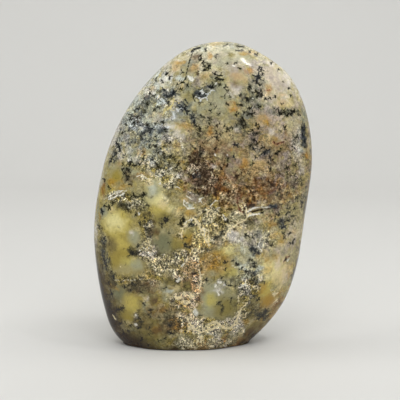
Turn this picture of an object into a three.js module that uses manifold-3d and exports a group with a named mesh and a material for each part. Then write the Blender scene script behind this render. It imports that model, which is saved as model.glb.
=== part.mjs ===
// A freestanding freeform of dendritic agate: one rounded slab of stone, ground and polished by hand
// all over, then sawn flat underneath so that it stands upright.
// Millimetres, X to the right, Y to the back, Z up, with the origin under the middle of the stone.
import * as THREE from 'three';
import { mergeVertices } from 'three/addons/utils/BufferGeometryUtils.js';
import Module from 'manifold-3d';

// Driving dimensions of the slab
const FRONT_DEPTH = 24;
const BACK_DEPTH = 22;
const TOP_THINNING = 0.2;
const THINNING_START = 30;
const THINNING_END = 150;
const STONE_DETAIL = 19;

// The outline of the slab seen from the front, as x and z, anticlockwise from the right
const OUTLINE = [
  [57, 98], [55.6, 116], [51.5, 131], [44.2, 143.6], [32, 153], [17.3, 160], [4, 160.1], [-9.2, 156],
  [-22.3, 146.6], [-37.9, 128.5], [-49, 107.2], [-55.8, 81], [-58.1, 60], [-57, 42], [-53.9, 23.2],
  [-48.5, 6.8], [-39.4, -2], [-13, -12], [9, -9.5], [28.6, 4.4], [42, 21.2], [49.2, 41.3], [53.5, 69],
];
// The point inside the outline that the slab swells from
const HEART = new THREE.Vector2(0, 77);

// How square the section of the slab is from face to rim: higher is a flatter face or a tighter rim
const FACE_FLATNESS = 3.1;
const RIM_FULLNESS = 2.2;
const SECTION_REACH = 68;

// Flats that the wheel left, each by a point on it, the way it faces and how soft its edge is
const FLATS = [
  { at: [-50, -13, 38], faces: [-0.68, -0.71, -0.16], edge: 1.3 },
  { at: [-42, -11, 10], faces: [-0.52, -0.74, -0.42], edge: 1.3 },
  { at: [-37, -16, 122], faces: [-0.45, -0.82, 0.35], edge: 2 },
  { at: [49, -15, 74], faces: [0.62, -0.78, -0.02], edge: 2 },
  { at: [12, -14, 149], faces: [0.12, -0.72, 0.68], edge: 2 },
  { at: [35, -14, 28], faces: [0.5, -0.72, -0.48], edge: 1.6 },
  { at: [-50, 14, 62], faces: [-0.7, 0.71, -0.08], edge: 2 },
  { at: [45, 14, 112], faces: [0.62, 0.74, 0.26], edge: 2 },
  { at: [0, 21, 90], faces: [0.04, 0.995, 0.08], edge: 1.6 },
];

// Slow waves of a surface polished by hand: height, length and the way each one runs in x and z
const WAVES = [
  { height: 0.45, length: 58, along: [0.8, 0.6], start: 0.4 },
  { height: 0.3, length: 37, along: [-0.5, 0.87], start: 2.1 },
  { height: 0.2, length: 26, along: [0.97, -0.26], start: 4.0 },
];

// Hollows whose bottom the polish never reached: centre on the front, radii and depth. They are the
// druzy pit, the open fissure, the rough patch low on the face, one at the left rim and a lace vein.
const HOLLOWS = [
  { x: 44.1, z: 47, wide: 3.2, tall: 3.8, deep: 1.3 },
  { x: 27.9, z: 74.4, wide: 5.4, tall: 2, deep: 1.4 },
  { x: -9.6, z: 28.5, wide: 5.6, tall: 4.6, deep: 0.8 },
  { x: -44.8, z: 81.4, wide: 5, tall: 2.4, deep: 0.6 },
  { x: 19.2, z: 21.8, wide: 2.4, tall: 6, deep: 0.7 },
];

// The sawn base
const BASE_SPAN = 400;
const BASE_BLOCK = 60;

const wasm = await Module();
wasm.setup();

// A quarter of the slab's section, from the middle of a face out to the rim. Its length is even, so
// points laid out along it by angle keep the same spacing on the face and on the rim.
class Section extends THREE.Curve {
  getPoint(t, target = new THREE.Vector2()) {
    const angle = t * Math.PI / 2;
    const reach = SECTION_REACH * Math.sin(angle) ** (2 / FACE_FLATNESS);
    const depth = FRONT_DEPTH * Math.max(Math.cos(angle), 0) ** (2 / RIM_FULLNESS);
    return target.set(reach, depth);
  }
}

// The outline as a list of directions from the heart, each with its distance to the rim
function rimDistances() {
  const points = OUTLINE.map(([x, z]) => new THREE.Vector3(x - HEART.x, z - HEART.y, 0));
  const curve = new THREE.CatmullRomCurve3(points, true, 'centripetal');
  return curve.getPoints(OUTLINE.length * 24)
    .map(p => ({ angle: Math.atan2(p.y, p.x), distance: Math.hypot(p.x, p.y) }))
    .sort((a, b) => a.angle - b.angle);
}

// The distance from the heart to the rim in one direction
function rimDistance(rim, angle) {
  const next = rim.findIndex(entry => entry.angle >= angle);
  if (next <= 0) {
    return rim[0].distance;
  }
  const before = rim[next - 1];
  const after = rim[next];
  const share = (angle - before.angle) / Math.max(after.angle - before.angle, 1e-9);
  return before.distance + share * (after.distance - before.distance);
}

// Lays a point of a unit ball on the slab
function swell(point, rim, section) {
  const angle = Math.atan2(point.z, point.x);
  const tilt = Math.acos(Math.min(Math.abs(point.y), 1));
  const place = section.getPointAt(Math.min(tilt / (Math.PI / 2), 1));
  const distance = rimDistance(rim, angle) * place.x / SECTION_REACH;
  const x = HEART.x + distance * Math.cos(angle);
  const z = HEART.y + distance * Math.sin(angle);
  const thinning = 1 - TOP_THINNING * THREE.MathUtils.smoothstep(z, THINNING_START, THINNING_END);
  const depth = (point.y < 0 ? FRONT_DEPTH : BACK_DEPTH) * thinning * place.y / FRONT_DEPTH;
  point.set(x, point.y < 0 ? -depth : depth, z);
}

// Grinds a flat: a point beyond it comes back to it, and the edge between them stays soft
function grind(point, flat) {
  const normal = new THREE.Vector3(...flat.faces).normalize();
  const height = point.clone().sub(new THREE.Vector3(...flat.at)).dot(normal);
  const removed = flat.edge * Math.log1p(Math.exp(height / flat.edge));
  point.addScaledVector(normal, -removed);
}

// Adds the slow waves, which fade out towards the rim
function wave(point) {
  const fade = Math.min(Math.abs(point.y) / (FRONT_DEPTH / 2), 1);
  for (const { height, length, along, start } of WAVES) {
    const way = point.x * along[0] + point.z * along[1];
    point.y += fade * height * Math.sin(2 * Math.PI * way / length + start);
  }
}

// Sinks the hollows into the front face
function sink(point) {
  if (point.y > 0) {
    return;
  }
  for (const { x, z, wide, tall, deep } of HOLLOWS) {
    const away = ((point.x - x) / wide) ** 2 + ((point.z - z) / tall) ** 2;
    point.y += deep * Math.exp(-away);
  }
}

function stoneBody() {
  const ball = new THREE.IcosahedronGeometry(1, STONE_DETAIL);
  ball.deleteAttribute('normal');
  ball.deleteAttribute('uv');
  const geometry = mergeVertices(ball, 1e-5);
  const rim = rimDistances();
  const section = new Section();
  const position = geometry.attributes.position;
  const point = new THREE.Vector3();
  for (let i = 0; i < position.count; i++) {
    point.fromBufferAttribute(position, i);
    swell(point, rim, section);
    for (const flat of FLATS) {
      grind(point, flat);
    }
    wave(point);
    sink(point);
    position.setXYZ(i, point.x, point.y, point.z);
  }
  return geometry;
}

function toSolid(geometry) {
  return new wasm.Manifold(new wasm.Mesh({
    numProp: 3,
    vertProperties: new Float32Array(geometry.attributes.position.array),
    triVerts: new Uint32Array(geometry.index.array),
  }));
}

function toGeometry(solid) {
  const mesh = solid.getMesh();
  const geometry = new THREE.BufferGeometry();
  geometry.setAttribute('position', new THREE.BufferAttribute(mesh.vertProperties, 3));
  geometry.setIndex(new THREE.BufferAttribute(mesh.triVerts, 1));
  return geometry;
}

// Everything below the table is sawn off
function sawBase(geometry) {
  const block = new THREE.BoxGeometry(BASE_SPAN, BASE_SPAN, BASE_BLOCK);
  block.translate(0, 0, -BASE_BLOCK / 2);
  block.deleteAttribute('normal');
  block.deleteAttribute('uv');
  return toGeometry(toSolid(geometry).subtract(toSolid(mergeVertices(block))));
}

function agateFreeform() {
  const geometry = sawBase(stoneBody());
  geometry.computeBoundingBox();
  const middle = geometry.boundingBox.getCenter(new THREE.Vector3());
  geometry.translate(-middle.x, -middle.y, 0);
  geometry.computeVertexNormals();
  const material = new THREE.MeshStandardMaterial({ color: 0xb3a987, roughness: 0.18, metalness: 0 });
  const mesh = new THREE.Mesh(geometry, material);
  mesh.name = 'agate_freeform';
  return mesh;
}

const freeform = new THREE.Group();
freeform.add(agateFreeform());
export default freeform;
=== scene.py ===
import math
import random

import bmesh
import bpy
import numpy as np
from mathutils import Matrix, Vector, noise
from mathutils.kdtree import KDTree


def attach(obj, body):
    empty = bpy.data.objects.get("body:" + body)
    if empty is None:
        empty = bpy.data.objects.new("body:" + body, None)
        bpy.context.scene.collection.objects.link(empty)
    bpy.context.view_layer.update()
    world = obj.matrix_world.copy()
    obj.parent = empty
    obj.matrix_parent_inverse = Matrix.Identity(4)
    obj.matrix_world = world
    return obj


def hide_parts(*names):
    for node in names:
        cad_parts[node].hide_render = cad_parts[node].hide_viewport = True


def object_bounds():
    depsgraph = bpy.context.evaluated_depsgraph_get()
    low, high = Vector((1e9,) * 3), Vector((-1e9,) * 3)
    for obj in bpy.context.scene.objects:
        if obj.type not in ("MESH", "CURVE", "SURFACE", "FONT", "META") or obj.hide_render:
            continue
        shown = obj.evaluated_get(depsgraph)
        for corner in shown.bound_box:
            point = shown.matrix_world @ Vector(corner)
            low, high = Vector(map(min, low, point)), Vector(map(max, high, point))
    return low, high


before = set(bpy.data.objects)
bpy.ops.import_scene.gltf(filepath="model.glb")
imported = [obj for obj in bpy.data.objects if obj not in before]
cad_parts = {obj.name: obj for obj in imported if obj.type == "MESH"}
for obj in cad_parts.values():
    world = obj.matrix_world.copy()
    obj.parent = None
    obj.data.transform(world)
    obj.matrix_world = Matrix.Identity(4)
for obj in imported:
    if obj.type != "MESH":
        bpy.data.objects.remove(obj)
cad_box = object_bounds()


# The stone: one slab of dendritic agate, ground on a wheel to a freeform, polished all over and sawn
# flat underneath. The solid gives its shape, and here the wheel's facets are polished out, the sawn
# edge is eased, and the few places that the polish never reached get their broken surface.

MM = 0.001
SAME_POINT = 0.01
SHORT_EDGE = 0.15
EASED_EDGE = 1.2
EASE_STEPS = 4
BASE_RINGS = 6
WALL_FROM = EASED_EDGE + 0.1
BODY_CUTS = 2
POLISH_PASSES = 24
RUB_DOWN = 0.5
RISE_BACK = -0.53
FINE_UNTIL = 2.5
FINE_PASSES = 4

stone = bmesh.new()
stone.from_mesh(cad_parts["agate_freeform"].data)
bmesh.ops.remove_doubles(stone, verts=stone.verts[:], dist=SAME_POINT * MM)
bmesh.ops.bisect_plane(
    stone,
    geom=stone.verts[:] + stone.edges[:] + stone.faces[:],
    plane_co=(0, 0, EASED_EDGE * MM),
    plane_no=(0, 0, 1),
    clear_inner=True,
)
bmesh.ops.triangulate(stone, faces=stone.faces[:])
bmesh.ops.remove_doubles(stone, verts=stone.verts[:], dist=SHORT_EDGE * MM)


def open_loop(mesh):
    """The vertices round the open bottom in order, the way in from each, and their middle."""
    edge = [e for e in mesh.edges if e.is_boundary][0]
    loop = [edge.verts[0]]
    while edge.other_vert(loop[-1]) is not loop[0]:
        loop.append(edge.other_vert(loop[-1]))
        edge = next(e for e in loop[-1].link_edges if e.is_boundary and e is not edge)
    middle = sum((v.co for v in loop), Vector()) / len(loop)
    ways = []
    for i, vertex in enumerate(loop):
        along = loop[(i + 1) % len(loop)].co - loop[i - 1].co
        way = Vector((-along.y, along.x, 0)).normalized()
        ways.append(-way if way.dot(middle - vertex.co) < 0 else way)
    return loop, ways, middle


def next_ring(mesh, loop):
    """Extrudes the open loop once and returns the new loop, in the same order."""
    edges = [mesh.edges.get((v, loop[i - 1])) for i, v in enumerate(loop)]
    made = bmesh.ops.extrude_edge_only(mesh, edges=edges)["geom"]
    fresh = {g for g in made if isinstance(g, bmesh.types.BMVert)}
    return [next(e.other_vert(v) for e in v.link_edges if e.other_vert(v) in fresh) for v in loop]


loop, ways, middle = open_loop(stone)
starts = [v.co.copy() for v in loop]
for step in range(1, EASE_STEPS + 1):
    turn = math.pi / 2 * step / EASE_STEPS
    loop = next_ring(stone, loop)
    for vertex, start, way in zip(loop, starts, ways):
        vertex.co = start + way * (EASED_EDGE * (1 - math.cos(turn)) * MM)
        vertex.co.z = EASED_EDGE * (1 - math.sin(turn)) * MM
rims = [v.co.copy() for v in loop]
for ring in range(1, BASE_RINGS):
    loop = next_ring(stone, loop)
    for vertex, rim in zip(loop, rims):
        vertex.co.x = rim.x + (middle.x - rim.x) * ring / BASE_RINGS
        vertex.co.y = rim.y + (middle.y - rim.y) * ring / BASE_RINGS
bmesh.ops.holes_fill(stone, edges=[e for e in stone.edges if e.is_boundary])
bmesh.ops.triangulate(stone, faces=[f for f in stone.faces if len(f.verts) > 4])


def polish(mesh, passes):
    """Takes the facets out of the wall at its full size, and leaves the base and its edge alone."""
    wall = [v for v in mesh.verts if v.co.z > WALL_FROM * MM]
    for factor in (RUB_DOWN, RISE_BACK) * passes:
        bmesh.ops.smooth_vert(
            mesh, verts=wall, factor=factor, use_axis_x=True, use_axis_y=True, use_axis_z=True
        )


bmesh.ops.subdivide_edges(stone, edges=stone.edges[:], cuts=BODY_CUTS, use_grid_fill=True)
polish(stone, POLISH_PASSES)
front_edges = [e for e in stone.edges if max(v.co.y for v in e.verts) < FINE_UNTIL * MM]
front_edges = [e for e in front_edges if min(v.co.z for v in e.verts) > EASED_EDGE * MM]
bmesh.ops.subdivide_edges(stone, edges=front_edges, cuts=1, use_grid_fill=True)
polish(stone, FINE_PASSES)
bmesh.ops.triangulate(stone, faces=[f for f in stone.faces if len(f.verts) > 3])
stone.normal_update()

# Broken places in the polish. The fissure is a slit with raised white lips, which narrows to its ends
# as a half wave does. Its lips lie a few of its half widths away.
FISSURE = [(24, 73.4), (25.6, 73.9), (27.6, 74.4), (30.4, 74.9)]
FISSURE_DEPTH = 0.9
FISSURE_WIDTH = 0.62
FISSURE_END = 0.35
WAVE_START = 0.15
WAVE_SPAN = 0.8
LIP_RISE = 0.16
LIP_AWAY = 2.2
LIP_WIDTH = 0.8
FISSURE_ROOM = 4.6

# The druzy pit, lined with small crystals, and then the chalky patches, whose surface is like a crust
# of bread: across, up, half width, half height, the size of the grain and how far it rises
ROUGH = [
    (43.9, 47.5, 2.2, 2.4, 0.75, 0.55), (-9.6, 28.5, 5.6, 4.4, 1.3, 0.32),
    (-44.8, 81.2, 5.2, 1.9, 1, 0.42), (19.6, 21.4, 1.8, 6, 1.2, 0.26),
    (-27.6, 54.2, 3.6, 3, 1, 0.2), (8.5, 14.5, 6.5, 2.6, 1.1, 0.2),
]
ROUGH_UNTIL = -2
ROUGH_REACH = 2


def along_line(x, z, points):
    """How far a point is from a line through the points, and its place along it, from 0 to 1."""
    nearest = np.full(np.shape(x), 1e9)
    place = np.zeros(np.shape(x))
    pieces = len(points) - 1
    for i, ((ax, az), (bx, bz)) in enumerate(zip(points, points[1:])):
        ux, uz = bx - ax, bz - az
        share = np.clip(((x - ax) * ux + (z - az) * uz) / (ux * ux + uz * uz), 0, 1)
        away = np.hypot(x - ax - share * ux, z - az - share * uz)
        place = np.where(away < nearest, (i + share) / pieces, place)
        nearest = np.minimum(nearest, away)
    return nearest, place


def rough_rise(x, y, z):
    """How far the grain of the pit and of the chalky patches lifts a place on the front."""
    raised = 0.0
    for at_x, at_z, wide, tall, size, rise in ROUGH:
        reach = ((x - at_x) / wide) ** 2 + ((z - at_z) / tall) ** 2
        if reach < ROUGH_REACH ** 2:
            lump = noise.noise(Vector((x, y, z)) / size)
            lump += 0.5 * noise.noise(Vector((x, z, y)) / (0.5 * size))
            raised += rise * lump * math.exp(-reach)
    return raised


def fissure_relief(x, z):
    """How far the fissure sinks a place on the front, and how far its lips lift it."""
    away, share = [float(number) for number in along_line(np.array(x), np.array(z), FISSURE)]
    wave = math.sin(math.pi * min(WAVE_START + WAVE_SPAN * share, 1))
    width = FISSURE_WIDTH * (FISSURE_END + (1 - FISSURE_END) * wave)
    lip = LIP_RISE * math.exp(-(((away - LIP_AWAY * width) / (LIP_WIDTH * width)) ** 2))
    return FISSURE_DEPTH * math.exp(-((away / width) ** 2)), lip


(fissure_left, fissure_low), (fissure_right, fissure_high) = FISSURE[0], FISSURE[-1]
for vertex in stone.verts:
    x, y, z = vertex.co / MM
    if y > ROUGH_UNTIL:
        continue
    raised = rough_rise(x, y, z)
    beside = max(fissure_left - x, x - fissure_right, fissure_low - z, z - fissure_high)
    if beside < FISSURE_ROOM:
        sunk, lip = fissure_relief(x, z)
        raised = raised - sunk + lip
    vertex.co += vertex.normal * (raised * MM)

# The polish can't make the stone any larger than the solid
for vertex in stone.verts:
    vertex.co = [min(max(place, low), high) for place, low, high in zip(vertex.co, *cad_box)]

mesh = bpy.data.meshes.new("agate_stone")
stone.to_mesh(mesh)
stone.free()
for face in mesh.polygons:
    face.use_smooth = True
agate = bpy.data.objects.new("agate_stone", mesh)
bpy.context.scene.collection.objects.link(agate)

# The colour of the ground, in patches that the silica took up as it set: wide ones that go right
# through the slab, then the smooth pools, then small ones that lie near the front. Places are in
# millimetres across and up, each with its half width and half height. The dark brown patches low at
# the rims are painted shade; a few pale patches on the left rim are painted reflection, and a pale
# spot beside the druzy pit is a painted glint.
COLOURS = {
    "khaki": (148, 139, 100),
    "ice_green": (176, 178, 160),
    "straw": (190, 185, 164),
    "cream": (190, 176, 134),
    "pink_cream": (186, 174, 156),
    "peach": (178, 154, 110),
    "lilac": (150, 140, 132),
    "lilac_white": (198, 192, 184),
    "ice": (188, 196, 192),
    "slate": (108, 112, 104),
    "blue_grey": (112, 112, 86),
    "night_blue": (74, 84, 100),
    "grey_green": (146, 145, 120),
    "green_cream": (184, 178, 132),
    "yellow_green": (166, 156, 94),
    "pool_light": (197, 190, 140),
    "pool_gold": (174, 160, 90),
    "olive": (126, 116, 64),
    "olive_gold": (144, 130, 64),
    "moss_green": (118, 106, 64),
    "gold": (158, 128, 56),
    "orange": (164, 124, 54),
    "rust": (122, 82, 44),
    "brown": (88, 66, 42),
    "dun": (134, 114, 84),
    "tan": (164, 140, 98),
    # The next colour is painted shade for the low rims, not a colour of the stone
    "rim_shade_brown": (48, 36, 18),
}
THROUGH = [
    ("grey_green", -26, 120, 28, 36), ("ice_green", -30, 126, 18, 24), ("lilac_white", -46, 116, 6, 16),
    ("lilac_white", -34, 140, 9, 9), ("lilac_white", -20, 150, 9, 6), ("straw", 6, 154, 26, 12),
    ("straw", 38, 142, 16, 14), ("grey_green", 10, 132, 14, 12), ("dun", 34, 108, 24, 18),
    ("dun", 2, 108, 16, 12), ("brown", 0, 91, 11, 12), ("dun", 28, 86, 26, 12), ("brown", 22, 85, 12, 6),
    ("grey_green", -34, 98, 14, 12), ("olive", -28, 72, 8, 14), ("khaki", 2, 66, 18, 12),
    ("khaki", 38, 62, 18, 14), ("moss_green", -24, 30, 36, 34), ("olive", -16, 44, 16, 10),
    ("moss_green", 16, 22, 26, 22), ("tan", -4, 46, 8, 8), ("cream", 42, 42, 10, 14),
    ("moss_green", -6, 8, 30, 10), ("khaki", 4, 12, 12, 6), ("ice_green", 23, 48, 8, 13),
    # The dark brown rim patches on the next three lines are painted shade along the low rims, on every
    # side
    ("rim_shade_brown", -58, 34, 8, 26), ("rim_shade_brown", -53, 16, 8, 22), ("rim_shade_brown", -42, 0, 18, 7),
    ("rim_shade_brown", 30, 0, 20, 8), ("rim_shade_brown", 43, 14, 8, 12), ("rim_shade_brown", 51, 34, 5, 20),
    ("rim_shade_brown", -4, -3, 44, 6.6), ("dun", 58, 96, 5, 34),
]
POOLS = [
    ("olive_gold", -44, 91, 4, 5), ("pool_gold", -47.5, 86, 4, 3.6), ("green_cream", -25.5, 84.5, 8, 10),
    ("khaki", -32, 87, 4, 5), ("grey_green", -25, 85, 4, 5.4), ("lilac_white", -20, 79.6, 3, 3.4),
    ("cream", -28.4, 91.2, 3.4, 1.8), ("rust", -51.8, 84, 2.6, 5), ("gold", -46.8, 87.8, 3.4, 2.6),
    ("pool_gold", -22, 75.5, 6, 4.4), ("olive", -19.5, 71, 5.4, 4), ("grey_green", -50, 73, 6, 5),
    ("olive_gold", -42, 53, 10, 13), ("olive_gold", -43.5, 66.5, 12, 11),
    ("pool_gold", -44.5, 67, 10, 8), ("pool_light", -45.5, 68.6, 7, 5.4),
    ("pool_gold", -40.6, 72, 2.4, 2), ("grey_green", -51.4, 72.4, 4, 3),
    ("moss_green", -48.6, 55.5, 2.6, 6), ("grey_green", -34.6, 61, 4, 6.4),
    ("pool_gold", -43, 56.4, 6, 4), ("olive_gold", -43.5, 49.5, 7, 6), ("yellow_green", -37, 47, 6, 4),
    ("grey_green", -34, 46, 4, 3), ("khaki", -40, 43.4, 6, 3.4), ("blue_grey", -20, 58, 7.4, 7.4),
    ("olive", -12.8, 57.6, 4.4, 4), ("olive_gold", -6.6, 60.4, 7, 5.4),
    ("green_cream", -1.4, 61, 2.4, 5), ("lilac_white", 15.4, 62.4, 4.4, 4),
    ("green_cream", 1.4, 61.6, 3.4, 5), ("green_cream", -3.4, 63, 2.2, 4), ("gold", -13, 75.6, 4, 1.6),
    ("gold", -6, 73, 3, 1.5), ("olive", 7.4, 63.6, 3.6, 2.6), ("olive_gold", -27, 41.4, 3.6, 3.4),
    ("blue_grey", -43.5, 31.4, 6, 5), ("pool_gold", -36.8, 25.8, 5.4, 6.4),
    ("olive_gold", -40, 18, 6, 4.4), ("moss_green", -28, 12, 10, 8), ("olive", -26, 6, 11, 5),
    ("olive", -7.4, 35.8, 4.4, 3.4), ("grey_green", 10, 28, 13, 13), ("olive", 12, 24.5, 9, 8),
    ("grey_green", 2, 27, 4, 11), ("yellow_green", 4.2, 28.6, 3.6, 5), ("grey_green", 7, 36, 7, 4.4),
    ("yellow_green", 14.2, 43, 5.4, 4), ("gold", 5.2, 48.4, 10, 6), ("pool_gold", 12.9, 55.4, 5, 3.4),
    ("pool_light", 13, 55.4, 4, 2.6), ("pool_light", 33.4, 47.4, 4, 3), ("pool_gold", 33, 33, 6.4, 8),
    ("gold", 35, 26, 6, 6), ("pool_light", 34.5, 43, 6.4, 5), ("slate", 28, 62.5, 3.6, 2.4),
    ("slate", -21, 115.4, 4, 1.8), ("moss_green", 27, 12, 8, 6), ("ice_green", -25.6, 86.4, 2.6, 4),
    ("pool_light", -15.4, 76, 3, 2.2), ("pool_light", -21.5, 80, 4.4, 3.4),
    ("moss_green", -46.6, 56, 3.4, 4.4),
]
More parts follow.
